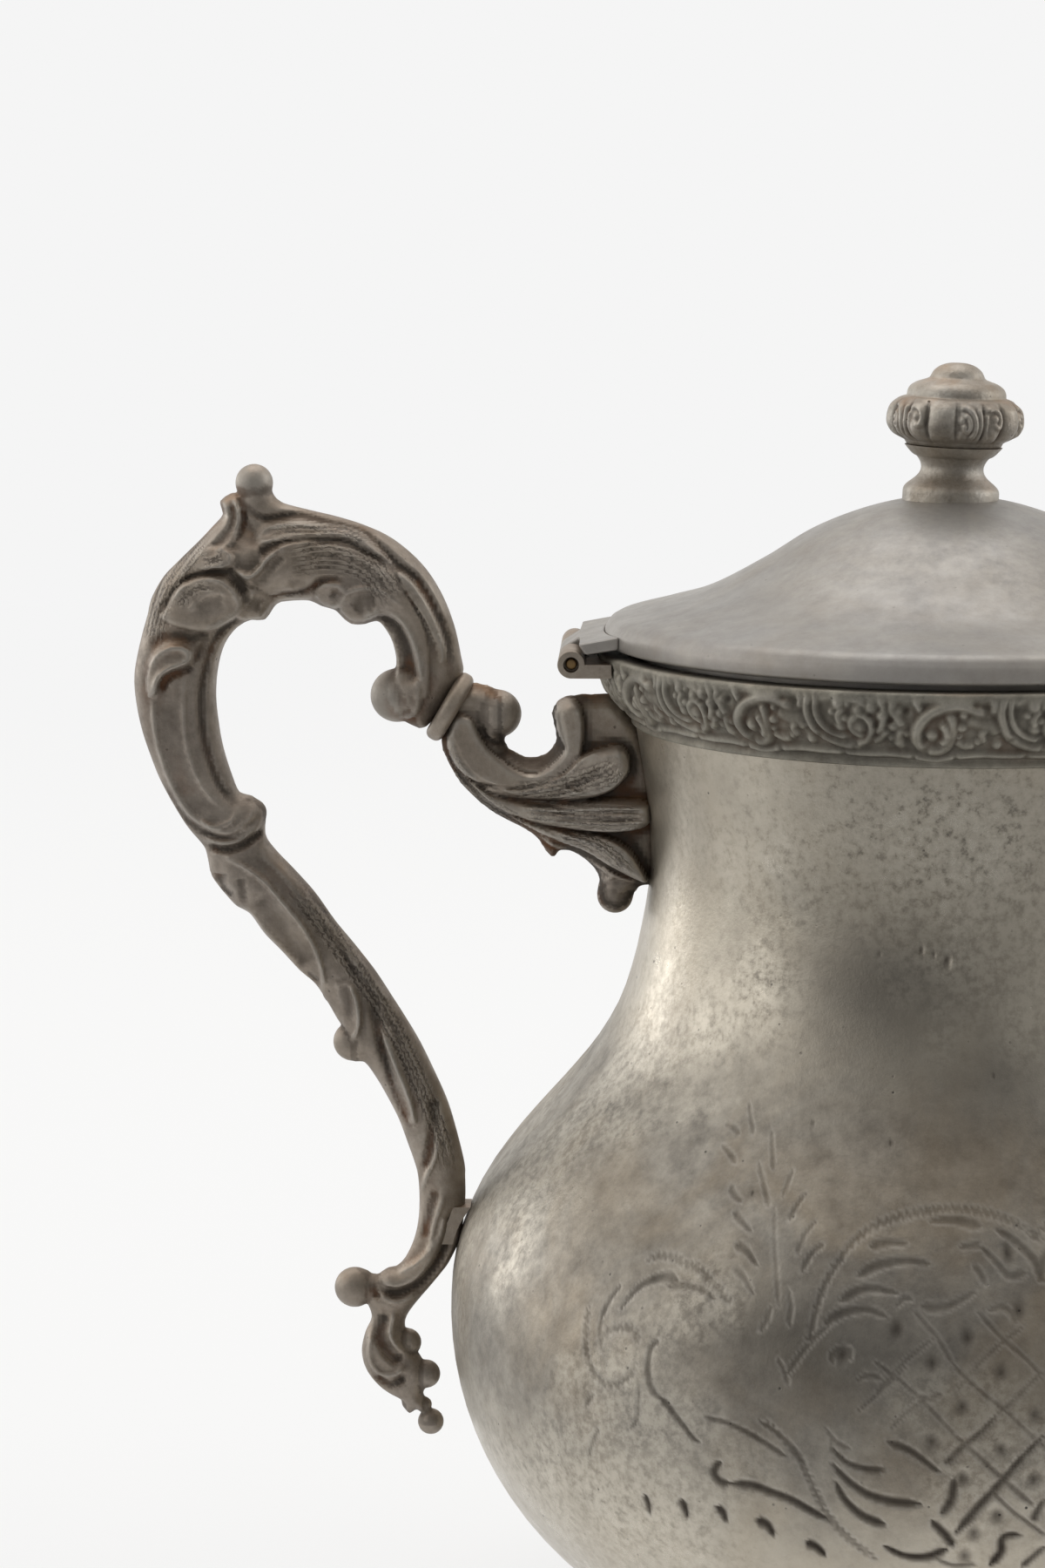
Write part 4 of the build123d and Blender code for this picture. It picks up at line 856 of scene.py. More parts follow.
def relief(u, v, ridges, berries, pits, period=0.0):
    """Height of modelled relief over a flat pattern, which may come again at a period."""
    high = np.zeros(u.shape)
    turns = (-1, 0, 1) if period else (0,)
    for shift in turns:
        here = u - shift * period
        for half, top, line in ridges:
            hit, gap, along = beside(here, v, flow(line, 0.35), half * 1.25)
            ends = np.clip(np.minimum(along, 1 - along) * 9 + 0.35, 0, 1)
            form = top * ends * np.cos(np.clip(gap / half / 1.25, 0, 1) * np.pi / 2) ** 1.1
            high[hit] = np.maximum(high[hit], form)
        for x, y, size, top in berries:
            gap = np.hypot(here - x, v - y) / size
            high = np.maximum(high, top * np.cos(np.clip(gap / 1.4, 0, 1) * np.pi / 2) ** 1.2)
        for x, y, size, deep in pits:
            gap = np.hypot(here - x, v - y) / size
            high -= deep * np.clip(1.15 - gap, 0, 1)
    return high


band_cast = pewter("dark_cast_pewter", "999589", "66635b", patches=0.3, rough=0.5, metal=0.7, warm=0.1,
                   grain=0.07, soil=0.25)
cast = pewter("cast_pewter", "a59b90", "786f66", patches=0.3, rough=0.47, metal=0.72, warm=0.3, grain=0.07,
              soil=0.7)
face_line = flow(BAND_FACE, 0.21)
face_up = face_line[:, 1] - BAND_FOOT[1]
period = 2 * np.pi * BAND_PATTERN_R / BAND_REPEATS
across = np.linspace(0, period, BAND_COLUMNS)
gu, gv = np.meshgrid(across, face_up)
high = relief(gu.ravel(), gv.ravel(), BAND_RIDGES, BAND_BERRIES, BAND_PITS, period).reshape(gu.shape)
high = 0.5 * high + 0.25 * (np.vstack([high[1:], high[-1:]]) + np.vstack([high[:1], high[:-1]]))
inside = np.clip(np.minimum((gv + 0.4) / 0.5, (9.1 - gv) / 0.35), 0, 1)
raised = np.where(inside > 0, (high - BAND_GROUND) * inside, 0)
face_slope = np.gradient(face_line, axis=0)
face_slope /= np.hypot(face_slope[:, 0], face_slope[:, 1])[:, None]
ring_r = face_line[:, 0][:, None] + raised * face_slope[:, 1][:, None]
ring_z = face_line[:, 1][:, None] - raised * face_slope[:, 0][:, None]
rest = np.array(BAND_LIP + BAND_BACK)
ring_r = np.vstack([ring_r, np.repeat(rest[:, :1], BAND_COLUMNS, 1)])
ring_z = np.vstack([ring_z, np.repeat(rest[:, 1:], BAND_COLUMNS, 1)])
angle = radians(BAND_START) - across / BAND_PATTERN_R
points = np.stack([-ring_r * np.sin(angle), -ring_r * np.cos(angle), ring_z], 2).reshape(-1, 3)
band = new_piece("rim_band", points, grid_faces(len(ring_r), BAND_COLUMNS, True), band_cast)
soft = high.copy()
for axis in (0, 1):
    soft = sum(np.roll(soft, k, axis) for k in range(-4, 5)) / 9
held_soil_and_shade = np.clip((soft - high) * 1.6 + 0.32, 0, 0.8) * inside
ridge_wear_and_glint = np.clip((high - soft) * 1.3 - 0.1, 0, 0.5) * inside
for name, values in (("hollow_soil_and_shade", held_soil_and_shade), ("ridge_wear_and_glint", ridge_wear_and_glint)):
    keep_values(band, name, np.concatenate([values.ravel(), np.zeros(len(rest) * BAND_COLUMNS)]))
repeated(band, BAND_REPEATS, band_cast)
settle(band, "pot", "neck_band")

# Handle grip: one hollow casting of leaf scrolls, an arch above and a long stem below, with a thumb
# ball. It is soldered to the collar at the top and to the lug on the belly.
# Side view outline in pixels; it lies a little in front of the handle's middle plane
GRIP_EDGE = [(308, 556), (313, 567), (323, 577), (355, 586), (387, 594), (419, 603.6), (451, 619.6),
    (483, 646.7), (505, 678.6), (521, 716.8), (529, 755), (531, 776), (512, 806), (488, 836), (470, 830),
    (452, 812), (446, 786), (455, 764), (451, 739), (441, 720), (432, 713.6), (419, 716.8), (403, 716.8),
    (391, 708), (384, 701), (368, 696), (355, 690), (330, 691), (317, 694.5), (304, 712), (288, 712),
    (272, 720), (258, 739), (250, 765), (247, 797), (250, 828), (256, 860), (266, 892), (275, 911),
    (288, 914.5), (304, 930), (304, 959), (315, 976), (338, 1000), (361, 1026), (384, 1058), (407, 1086),
    (430, 1115), (447, 1141), (464, 1167), (481, 1196), (498, 1230), (513, 1264), (524, 1299),
    (533, 1336), (534, 1351), (534, 1381), (529, 1420), (517, 1448), (508, 1461), (493, 1479),
    (478, 1496), (467, 1512), (465, 1524.5), (472, 1545), (484, 1562), (490, 1580), (485, 1600),
    (490, 1612), (488, 1624), (478, 1619), (471, 1624), (465, 1620), (462, 1610), (452, 1604),
    (439, 1596), (426.5, 1583), (418, 1568), (415, 1550), (419, 1530), (426.5, 1512), (420, 1490),
    (426, 1470), (433, 1465.8), (444, 1458), (455, 1456), (465, 1445), (475, 1425), (480, 1402),
    (481, 1376), (480, 1351), (475.5, 1336), (467, 1310), (458, 1287), (447, 1264.5), (432.5, 1239),
    (418, 1220), (407, 1220), (400, 1205), (396, 1185), (386.5, 1170), (375, 1150), (361, 1130),
    (343.5, 1115), (323, 1092), (303, 1072), (286, 1049), (272, 1041), (254.5, 1023), (242, 1006),
    (239, 992), (236, 977.5), (231, 969), (215, 950), (199, 924), (183, 895), (172, 867), (162, 838),
    (156, 806), (154, 774), (161, 736), (169, 704), (173, 688), (186, 663), (205, 643.5), (228, 621),
    (243.5, 605), (255, 590), (251, 576), (265, 566), (272, 566), (276, 556), (291, 548)]
# Strokes on its near side: half width, height or depth, pixels
GRIP_LINES = [
    (0.45, -0.34, [(474, 792), (474, 808), (464, 820), (448, 820), (437, 808), (437, 794), (446, 786),
     (456, 790)]),
    (0.63, -0.68, [(276, 578), (288, 590), (305, 596), (325, 595), (345, 592), (370, 598), (400, 606),
     (419, 612), (440, 632), (458, 650), (480, 668), (500, 702), (515, 738), (519, 775)]),
    (0.89, 0.35, [(312, 580), (345, 587), (385, 597), (425, 612), (455, 632), (482, 658), (503, 695),
     (518, 740), (525, 772)]),
    (0.45, 0.5, [(380, 603), (340, 600), (315, 602), (300, 609), (296, 616), (303, 622), (320, 619),
     (350, 616), (385, 616)]),
    (0.63, -0.42, [(300, 627), (312, 626), (330, 621), (365, 618), (400, 622), (430, 640), (452, 656)]),
    (0.45, 0.75, [(272, 654), (288, 659), (299, 651), (309, 638), (322, 627), (340, 621), (365, 619)]),
    (0.82, -0.59, [(290, 668), (303, 661), (314, 648), (328, 636)]),
    (0.91, -0.68, [(300, 634), (310, 630), (322, 625)]),
    (2.4, -0.38, [(272, 632), (279, 612), (290, 606)]),
    (1.4, -0.34, [(300, 640), (286, 648), (272, 646)]),
    (0.39, 0.55, [(267, 568), (274, 588), (273, 606), (266, 622), (258, 628)]),
    (0.54, -0.68, [(278, 585), (279, 603), (271, 622)]),
    (0.45, 0.45, [(254, 575), (262, 592), (256, 607), (240, 624), (222, 641), (208, 662)]),
    (0.54, -0.42, [(266, 580), (267, 600), (258, 617), (243, 632)]),
    (0.39, 0.6, [(218, 645), (236, 632), (256, 628), (268, 637), (264, 648), (245, 651), (222, 657)]),
    (0.58, -0.64, [(212, 668), (230, 660), (250, 656), (266, 655)]),
    (0.72, -0.68, [(262, 650), (272, 662), (282, 676), (287, 692)]),
    (0.45, 0.65, [(198, 690), (214, 670), (236, 661), (256, 664), (270, 676), (276, 691), (270, 706),
     (254, 716), (238, 723)]),
    (1.3, -0.47, [(228, 694), (243, 689), (258, 686)]),
    (0.45, 0.3, [(219, 700), (240, 680), (262, 680)]),
    (0.63, -0.51, [(172, 744), (184, 733), (202, 728), (222, 732), (236, 731), (231, 748), (224, 762)]),
    (0.6, 0.6, [(170, 770), (180, 752), (196, 741), (212, 741), (220, 750), (214, 762), (198, 767),
     (184, 778), (178, 800)]),
    (0.72, -0.68, [(186, 792), (192, 778), (206, 770), (222, 765)]),
    (1.6, -0.59, [(196, 800), (197, 840), (205, 878), (219, 911), (240, 934)]),
    (0.39, 0.5, [(176, 800), (178, 840), (188, 880), (204, 915), (222, 938), (245, 949), (266, 942),
     (272, 928)]),
    (0.39, 0.35, [(213, 775), (212, 810), (214, 845), (223, 880), (238, 910), (255, 925)]),
    (0.58, -0.59, [(186, 905), (204, 934), (232, 956), (262, 962), (286, 952)]),
    (0.54, -0.68, [(268, 712), (246, 735), (236, 765), (231, 797), (232, 835), (240, 872), (252, 903),
     (266, 922)]),
    (0.45, 0.3, [(262, 728), (252, 752), (246, 790), (249, 835), (259, 880), (272, 912)]),
    (0.39, 0.55, [(272, 706), (283, 712), (299, 709), (312, 695), (322, 688), (345, 688), (362, 683)]),
    (1.4, -0.59, [(288, 690), (300, 697)]),
    (0.91, -0.42, [(335, 672), (352, 670)]),
    (0.54, -0.51, [(318, 682), (345, 678), (360, 672), (372, 664), (395, 664)]),
    (0.39, 0.55, [(366, 690), (364, 678), (374, 669), (390, 671), (397, 682), (390, 692), (380, 699)]),
    (0.91, -0.38, [(380, 682), (386, 684)]),
    (0.39, 0.5, [(392, 703), (393, 688), (404, 677), (424, 674), (444, 680), (462, 694)]),
    (1.3, -0.68, [(408, 700), (418, 690), (432, 690)]),
    (1.1, -0.85, [(437, 707), (454, 722), (464, 745), (469, 768), (472, 786)]),
    (0.52, 0.7, [(418, 712), (436, 703), (458, 711), (472, 732), (480, 760), (482, 790)]),
    (0.45, 0.4, [(432, 717), (444, 728), (452, 748), (457, 764)]),
    (0.45, 0.5, [(456, 656), (472, 668), (490, 694), (504, 722), (512, 752)]),
    (0.45, 0.3, [(462, 664), (474, 682), (490, 708), (503, 738)]),
    (0.47, -0.51, [(280, 920), (291, 922), (295, 934), (290, 946), (280, 948)]),
    (0.65, -0.85, [(238, 972), (255, 976), (275, 972), (292, 963), (304, 957)]),
    (0.45, 0.4, [(236, 965), (256, 967), (276, 963), (296, 952)]),
    (1.1, -0.77, [(250, 1003), (252, 1022), (264, 1034)]),
    (0.72, -0.51, [(276, 1008), (280, 1036)]),
    (0.39, 0.7, [(262, 985), (282, 996), (305, 1012), (325, 1035), (348, 1064), (364, 1095), (371, 1125),
     (368, 1142)]),
    (1.6, -0.72, [(296, 1030), (316, 1058), (337, 1088), (352, 1112)]),
    (0.45, 0.4, [(278, 1038), (296, 1062), (318, 1086), (340, 1108)]),
    (0.54, -0.51, [(352, 1118), (362, 1130)]),
    (0.39, 0.7, [(402, 1130), (410, 1150), (413, 1172), (409, 1188), (401, 1197)]),
    (0.91, -0.68, [(394, 1128), (399, 1150), (398, 1172)]),
    (0.54, -0.34, [(376, 1064), (396, 1096), (410, 1124)]),
    (0.82, -0.72, [(428, 1148), (436, 1188), (448, 1232), (462, 1270), (470, 1292)]),
    (0.39, 0.55, [(438, 1186), (455, 1225), (470, 1262), (476, 1290)]),
    (0.82, -0.72, [(496, 1262), (499, 1292), (494, 1320), (486, 1345)]),
    (0.39, 0.6, [(500, 1290), (500, 1325), (490, 1350), (483, 1372)]),
    (0.63, -0.59, [(500, 1368), (492, 1398), (486, 1425)]),
    (0.39, 0.4, [(509, 1376), (500, 1404), (494, 1430)]),
    (0.82, -0.94, [(520, 1396), (512, 1430), (498, 1458), (478, 1479), (455, 1489), (438, 1484)]),
    (0.45, 0.5, [(500, 1420), (488, 1442), (466, 1459), (440, 1466), (430, 1474)]),
    (0.39, 0.4, [(436, 1490), (456, 1497), (476, 1487)]),
    (0.54, -0.59, [(424, 1472), (428, 1486), (436, 1494)]),
    (0.91, -0.94, [(441, 1512), (436, 1538), (446, 1556), (462, 1568)]),
    (0.72, -0.77, [(430, 1584), (448, 1594), (464, 1586)]),
    (0.39, 0.5, [(424, 1535), (424, 1562), (436, 1580), (454, 1580), (463, 1572)]),
    (0.45, 0.4, [(452, 1512), (448, 1534), (456, 1550)]),
]
# Leaves: height, width of the rounded edge, outline in pixels
GRIP_LEAVES = [
    (1, 1.6, [(487, 799), (483, 815), (472, 826), (456, 830), (440, 826), (429, 815), (425, 799),
     (429, 783), (440, 772), (456, 768), (472, 772), (483, 783)]),
    (0.75, 0.9, [(296, 614), (304, 606), (322, 600), (350, 599), (385, 603), (415, 611), (438, 630),
     (450, 646), (430, 636), (400, 622), (370, 617), (335, 619), (310, 623), (300, 622)]),
    (0.65, 1.1, [(272, 652), (286, 658), (297, 652), (308, 638), (322, 627), (345, 620), (370, 619),
     (400, 623), (428, 637), (450, 655), (470, 685), (488, 720), (494, 760), (492, 800), (484, 800),
     (480, 760), (470, 730), (455, 708), (432, 700), (420, 706), (404, 714), (396, 700), (390, 678),
     (372, 666), (350, 678), (315, 684), (300, 676), (285, 667)]),
    (0.55, 0.8, [(252, 575), (266, 567), (274, 578), (275, 600), (266, 622), (250, 640), (228, 655),
     (208, 668), (190, 690), (178, 706), (186, 664), (206, 644), (228, 622), (244, 606), (256, 590)]),
    (0.9, 0.8, [(214, 654), (222, 641), (238, 630), (256, 627), (268, 637), (263, 648), (245, 652)]),
    (0.9, 1.2, [(192, 694), (206, 672), (228, 661), (252, 662), (270, 675), (277, 692), (270, 708),
     (254, 718), (236, 724), (216, 722), (196, 716), (184, 708)]),
    (0.8, 0.8, [(168, 778), (178, 752), (194, 740), (212, 739), (222, 749), (216, 763), (200, 768),
     (187, 778), (180, 796), (170, 800)]),
    (0.5, 0.8, [(268, 706), (272, 690), (284, 676), (300, 676), (312, 688), (308, 700), (299, 709),
     (283, 712)]),
    (0.55, 0.8, [(364, 684), (370, 670), (385, 667), (397, 676), (397, 690), (384, 700), (370, 696)]),
    (0.55, 0.8, [(392, 703), (391, 688), (402, 677), (424, 674), (442, 680), (440, 700), (425, 712),
     (404, 714)]),
    (0.5, 0.7, [(455, 654), (470, 662), (490, 690), (505, 722), (514, 756), (506, 760), (496, 730),
     (480, 700), (464, 676)]),
    (0.5, 0.8, [(384, 1128), (402, 1128), (412, 1152), (414, 1176), (404, 1194), (392, 1180), (390, 1155)]),
    (0.5, 0.8, [(436, 1180), (450, 1196), (468, 1240), (478, 1290), (470, 1292), (456, 1262), (444, 1222)]),
    (0.5, 0.8, [(430, 1468), (450, 1460), (478, 1450), (498, 1428), (508, 1400), (514, 1410), (505, 1440),
     (486, 1466), (462, 1480), (440, 1480)]),
    (0.5, 0.8, [(300, 962), (316, 980), (345, 1012), (385, 1062), (420, 1108), (446, 1146), (438, 1150),
     (412, 1120), (380, 1080), (345, 1036), (318, 1004), (300, 985)]),
    (0.45, 0.8, [(224, 932), (240, 944), (262, 950), (282, 940), (292, 922), (300, 934), (296, 952),
     (270, 962), (244, 958)]),
]
# Finely lined places: half width, pixels
GRIP_MILLED = [
    (1, [(308, 611), (350, 607), (395, 610), (425, 624)]),
    (2.6, [(335, 642), (380, 636), (425, 652), (455, 690)]),
    (2.1, [(236, 612), (212, 640), (192, 672), (180, 706), (172, 742)]),
    (0.91, [(206, 694), (226, 674), (250, 672)]),
    (1, [(235, 645), (260, 638)]),
    (1.6, [(330, 1008), (396, 1098), (456, 1190), (500, 1290), (517, 1350)]),
]
# Balls: pixel, radius, depth across the pot as a share of the width
GRIP_BALLS = [(291, 555, 2.8, 1), (456, 799, 4, 1.12), (291, 933, 1.9, 0.8), (263, 1016, 1.2, 0.8),
              (286, 1024, 1.2, 0.8), (380, 1142, 1.3, 0.8), (405, 1197, 3, 0.9), (424, 1194, 2.6, 0.9),
              (407, 1479, 3.1, 0.85), (428, 1480, 2.2, 0.85), (416, 1472, 1.8, 0.7),
              (467, 1543, 2.2, 0.8), (489, 1579, 2.2, 0.85), (476, 1592, 1.6, 0.8), (478, 812, 2.8, 0.98),
              (487, 1614, 1.2, 0.9), (494, 1634, 2, 0.95), (470, 1612, 1.2, 0.8)]
# Where the pixels of the outline and of the strokes are taken to lie, along Y
GRIP_EDGE_Y = -1.0
GRIP_FACE_Y = -4.0
COLLAR = (-74.1, 148.5)     # X and height of the collar's middle
# Middle of the limb with its half width, from the collar down to the tail, measured from the collar
LIMB = [(2.6, -1.6, 4.2), (-3.1, 6.9, 4.9), (-5.4, 14.8, 5.1), (-11.8, 19.9, 6.1), (-20.6, 22, 6.6),
        (-28.9, 21.4, 7.2), (-36.2, 16.9, 6.8), (-39.7, 11.2, 6.2), (-41.1, 4, 6.1), (-40.8, -3.3, 5.7),
        (-38.8, -9.9, 5.3), (-35.7, -16.3, 4.9), (-31.9, -22.5, 4.6), (-28.7, -27, 4.9),
        (-21.8, -34.8, 4.6), (-15.3, -42.8, 4.35), (-10.6, -50.1, 4.15), (-7.2, -56.3, 4.1),
        (-4.3, -63.2, 3.9), (-2.3, -70.2, 3.7), (-1.6, -76.6, 3.45), (-3, -82.7, 3.3), (-5.8, -88, 3.1),
        (-8.6, -91.8, 2.9), (-10.2, -96, 3), (-10.2, -100.6, 3.4), (-7.4, -106, 2.6)]
THUMB = [(-29.1, 33.6, 2.75), (-27.7, 28.5, 3.2)]
GRIP_BOX = ((-123.5, 33.0), (-69.5, 186.0))     # lowest and highest X and height of its mesh
GRIP_THICK = 9.0            # its largest half thickness
GRIP_DEPTH = 0.88           # depth across the pot as a share of the width seen from the side
CAST_CELL = 0.32            # spacing of the castings' mesh
MILL_PITCH = 0.72           # spacing of the fine lines in the leaves


def on_plane(pixels, y):
    """X and height at which an upright plane along the handle shows in pixels of the photograph."""
    found = []
    for pixel in pixels:
        line = sight(*pixel)
        spot = eye + line * (y - eye[1]) / line[1]
        found.append((round(spot[0], 1), round(spot[2], 1)))
    return found


def placed(group, y):
    """Strokes with their pixels turned into places on an upright plane."""
    return [(*sizes, on_plane(line, y)) for *sizes, line in group]


def placed_balls(group, y):
    """Balls with their pixel turned into a place on an upright plane."""
    return [(*on_plane([(px, py)], y)[0], size, share) for px, py, size, share in group]


def inside_gap(x, y, loop):
    """Distance of places inside a closed outline from it, negative outside."""
    gap = np.full(x.shape, 1e6)
    inner = np.zeros(x.shape, bool)
    for (ax, ay), (bx, by) in zip(loop, np.roll(loop, -1, 0)):
        wx, wy = bx - ax, by - ay
        t = np.clip(((x - ax) * wx + (y - ay) * wy) / max(wx * wx + wy * wy, 1e-9), 0, 1)
        gap = np.minimum(gap, (x - ax - t * wx) ** 2 + (y - ay - t * wy) ** 2)
        inner ^= ((ay > y) != (by > y)) & (x < ax + (y - ay) * wx / (wy if wy else 1e-9))
    return np.sqrt(gap) * np.where(inner, 1, -1)


def modelled(x, z, lines):
    """Height of strokes modelled on a casting: ridges stand up and grooves go down."""
    high = np.zeros(x.shape)
    low = np.zeros(x.shape)
    for half, top, line in lines:
        hit, gap, along = beside(x, z, flow(line, 0.5), half * 1.5)
        ends = np.clip(np.minimum(along, 1 - along) * 8 + 0.3, 0, 1)
        form = top * ends * np.cos(np.clip(gap / half / 1.5, 0, 1) * np.pi / 2) ** 1.3
        if top > 0:
            high[hit] = np.maximum(high[hit], form)
        else:
            low[hit] = np.minimum(low[hit], form)
    return high + low


def padded(x, z, pads):
    """Height of leaves laid on a casting: raised inside their outlines, with rounded edges."""
    high = np.zeros(x.shape)
    for top, soft_edge, line in pads:
        loop = flow(line + line[:1], 0.7)[:-1]
        near = np.nonzero((x > loop[:, 0].min()) & (x < loop[:, 0].max())
                          & (z > loop[:, 1].min()) & (z < loop[:, 1].max()))[0]
        gap = np.clip(inside_gap(x[near], z[near], loop) / soft_edge, 0, 1)
        high[near] = np.maximum(high[near], top * np.sqrt(gap * (2 - gap)))
    return high


def skin(field, cell):
    """Smooth quads where a field sampled on a grid passes through zero; inside it is negative."""
    size = np.array(field.shape) - 1
    spots, owners, quads = [], [], []
    for axis in range(3):
        a, b = (axis + 1) % 3, (axis + 2) % 3
        near, far = [slice(None)] * 3, [slice(None)] * 3
        near[axis], far[axis] = slice(0, -1), slice(1, None)
        f0, f1 = field[tuple(near)], field[tuple(far)]
        place = np.stack(np.nonzero((f0 < 0) != (f1 < 0)), 1)
        place = place[((place[:, [a, b]] > 0) & (place[:, [a, b]] < size[[a, b]])).all(1)]
        v0, v1 = f0[tuple(place.T)], f1[tuple(place.T)]
        spot = place.astype(float)
        spot[:, axis] += v0 / (v0 - v1)
        ring = []
        for da, db in ((1, 1), (0, 1), (0, 0), (1, 0)):
            home = place.copy()
            home[:, a] -= da
            home[:, b] -= db
            ring.append(np.ravel_multi_index(tuple(home.T), tuple(size)))
            spots.append(spot)
            owners.append(ring[-1])
        ring = np.stack(ring, 1)
        quads.append(np.where((v0 < 0)[:, None], ring, ring[:, ::-1]))
    owner, faces = np.unique(np.concatenate(owners), return_inverse=True)
    spots = np.concatenate(spots)
    count = np.bincount(faces)
    points = np.stack([np.bincount(faces, spots[:, k]) / count for k in range(3)], 1) * cell
    return points, np.searchsorted(owner, np.concatenate(quads))


def blur(field, reach):
    """A field on the side view smoothed over a few cells."""
    for axis in (0, 1):
        field = sum(np.roll(field, k, axis) for k in range(-reach, reach + 1)) / (2 * reach + 1)
    return field


def casting(name, low, high, thick, height_of, balls, milled, finish):
    """A cast piece, alike on both sides: its thickness over the side view, joined with balls.
    height_of gives the signed squared half thickness of the plain form, its width and the half
    thickness with all its strokes."""
    reach = int(thick / CAST_CELL) + 2
    xs = np.arange(low[0], high[0], CAST_CELL)
    zs = np.arange(low[1], high[1], CAST_CELL)
    ys = np.arange(-reach, reach + 1) * CAST_CELL
    gx, gz = np.meshgrid(xs, zs, indexing="ij")
    base, width, half = [g.reshape(gx.shape) for g in height_of(gx.ravel(), gz.ravel())]
    square = np.where(base > 0, half ** 2, base)
    field = (ys[None, :, None] ** 2 - square[:, None, :]) / (2 * width[:, None, :])
    joint = np.zeros(field.shape, bool)
    rubbed_and_sheen = np.zeros(field.shape)
    for bx, bz, size, share in balls:
        i, k = [slice(max(int((at - size - 1 - start) / CAST_CELL), 0),
                      int((at + size + 1 - start) / CAST_CELL) + 2)
                for at, start in ((bx, xs[0]), (bz, zs[0]))]
        ball = np.sqrt((xs[i, None, None] - bx) ** 2 + (zs[None, None, k] - bz) ** 2
                       + (ys[None, :, None] / share) ** 2) - size
        old = field[i, :, k]
        mix = np.clip(0.5 + (ball - old) / 0.5, 0, 1)
        joint[i, :, k] |= (np.abs(ball - old) < 0.45)
        # the larger balls are lightened as rubbed bright, together with a painted sheen of the light from
        # above
        shine = 0.6 if share >= 1 else 0.15
        rubbed_and_sheen[i, :, k] = np.maximum(rubbed_and_sheen[i, :, k], shine * np.clip(old - ball, 0, 1))
        field[i, :, k] = ball * (1 - mix) + old * mix - 0.25 * mix * (1 - mix)
    points, faces = skin(field, CAST_CELL)
    spot = np.round(points / CAST_CELL).astype(int)
    points += (xs[0], ys[0], zs[0])
    made = new_piece(name, points, faces, finish)
    i, k = spot[:, 0], spot[:, 2]
    strokes = np.where(base > 0, half - np.sqrt(np.maximum(base, 0)), 0)
    cut = blur(strokes, 4) - strokes + 0.22 * np.clip(blur(strokes, 16) - strokes, 0, 3)
    # places low beside their neighbours hold soil, and broad sunk places, such as the plate between the
    # bracket's leaves, are darkened with painted shade; high ones are rubbed bright
    keep_values(made, "hollow_soil_and_shade", np.clip(cut[i, k] * 1.2 + joint[tuple(spot.T)] * 0.35 + 0.04, 0, 0.85))
    keep_values(made, "ridge_wear_and_glint", np.clip(np.maximum(-cut[i, k] - 0.1, rubbed_and_sheen[tuple(spot.T)]), 0, 0.6))
    mask, phase = np.zeros(gx.size), np.zeros(gx.size)
    for reach_of, line in milled:
        hit, gap, along = beside(gx.ravel(), gz.ravel(), flow(line, 0.8), reach_of)
        mask[hit] = np.clip((1 - gap / reach_of) * 3, 0, 1) * np.clip(np.minimum(along, 1 - along) * 8, 0, 1)
        phase[hit] = gap * 2 * np.pi / MILL_PITCH
    keep_values(made, "milled", mask.reshape(gx.shape)[i, k])
    keep_values(made, "phase", phase.reshape(gx.shape)[i, k])
    return made


grip_edge = on_plane(GRIP_EDGE, GRIP_EDGE_Y)
grip_loop = flow(grip_edge + grip_edge[:1], 1.2)[:-1]
grip_lines, grip_leaves, grip_milled = [placed(group, GRIP_FACE_Y)
                                        for group in (GRIP_LINES, GRIP_LEAVES, GRIP_MILLED)]
grip_limb, thumb_limb = [[(round(COLLAR[0] + along, 1), round(COLLAR[1] + rise, 1), half)
                          for along, rise, half in limb] for limb in (LIMB, THUMB)]


def nearest_width(x, z, limb):
    """Distance to a limb's middle line and the limb's half width there."""
    nearest = np.full(x.shape, 1e6)
    width = np.zeros(x.shape)
    for (ax, az, aw), (bx, bz, bw) in zip(limb, limb[1:]):
        wx, wz = bx - ax, bz - az
        t = np.clip(((x - ax) * wx + (z - az) * wz) / (wx * wx + wz * wz), 0, 1)
        gap = np.hypot(x - ax - t * wx, z - az - t * wz)
        closer = gap < nearest
        nearest = np.where(closer, gap, nearest)
        width = np.where(closer, aw + (bw - aw) * t, width)
    return nearest, width


def grip_height(x, z):
    """Half thickness of the grip: round in section, with its strokes and leaves."""
    edge = inside_gap(x, z, grip_loop)
    gap, width = nearest_width(x, z, grip_limb)
    thumb_gap, thumb_width = nearest_width(x, z, thumb_limb)
    thumb = gap ** 4 / (gap ** 4 + thumb_gap ** 4 + 1e-6)
    width = width + (thumb_width - width) * thumb
    full = np.minimum(edge, width)
    square = GRIP_DEPTH ** 2 * full * (2 * width - full)
    leaves = modelled(x, z, grip_lines) + padded(x, z, grip_leaves)
    half = np.sqrt(np.maximum(square, 0)) + leaves * np.clip(edge / 0.7, 0, 1)
    return square, width, np.maximum(half, 0.25)


grip = casting("grip", GRIP_BOX[0], GRIP_BOX[1], GRIP_THICK, grip_height,
               placed_balls(GRIP_BALLS, GRIP_EDGE_Y), grip_milled, cast)
settle(grip, "pot", "handle_grip")

# Collar: a plain rounded ring cast where the grip meets the bracket, in soldered joints on both sides.
clad("handle_collar", cast)

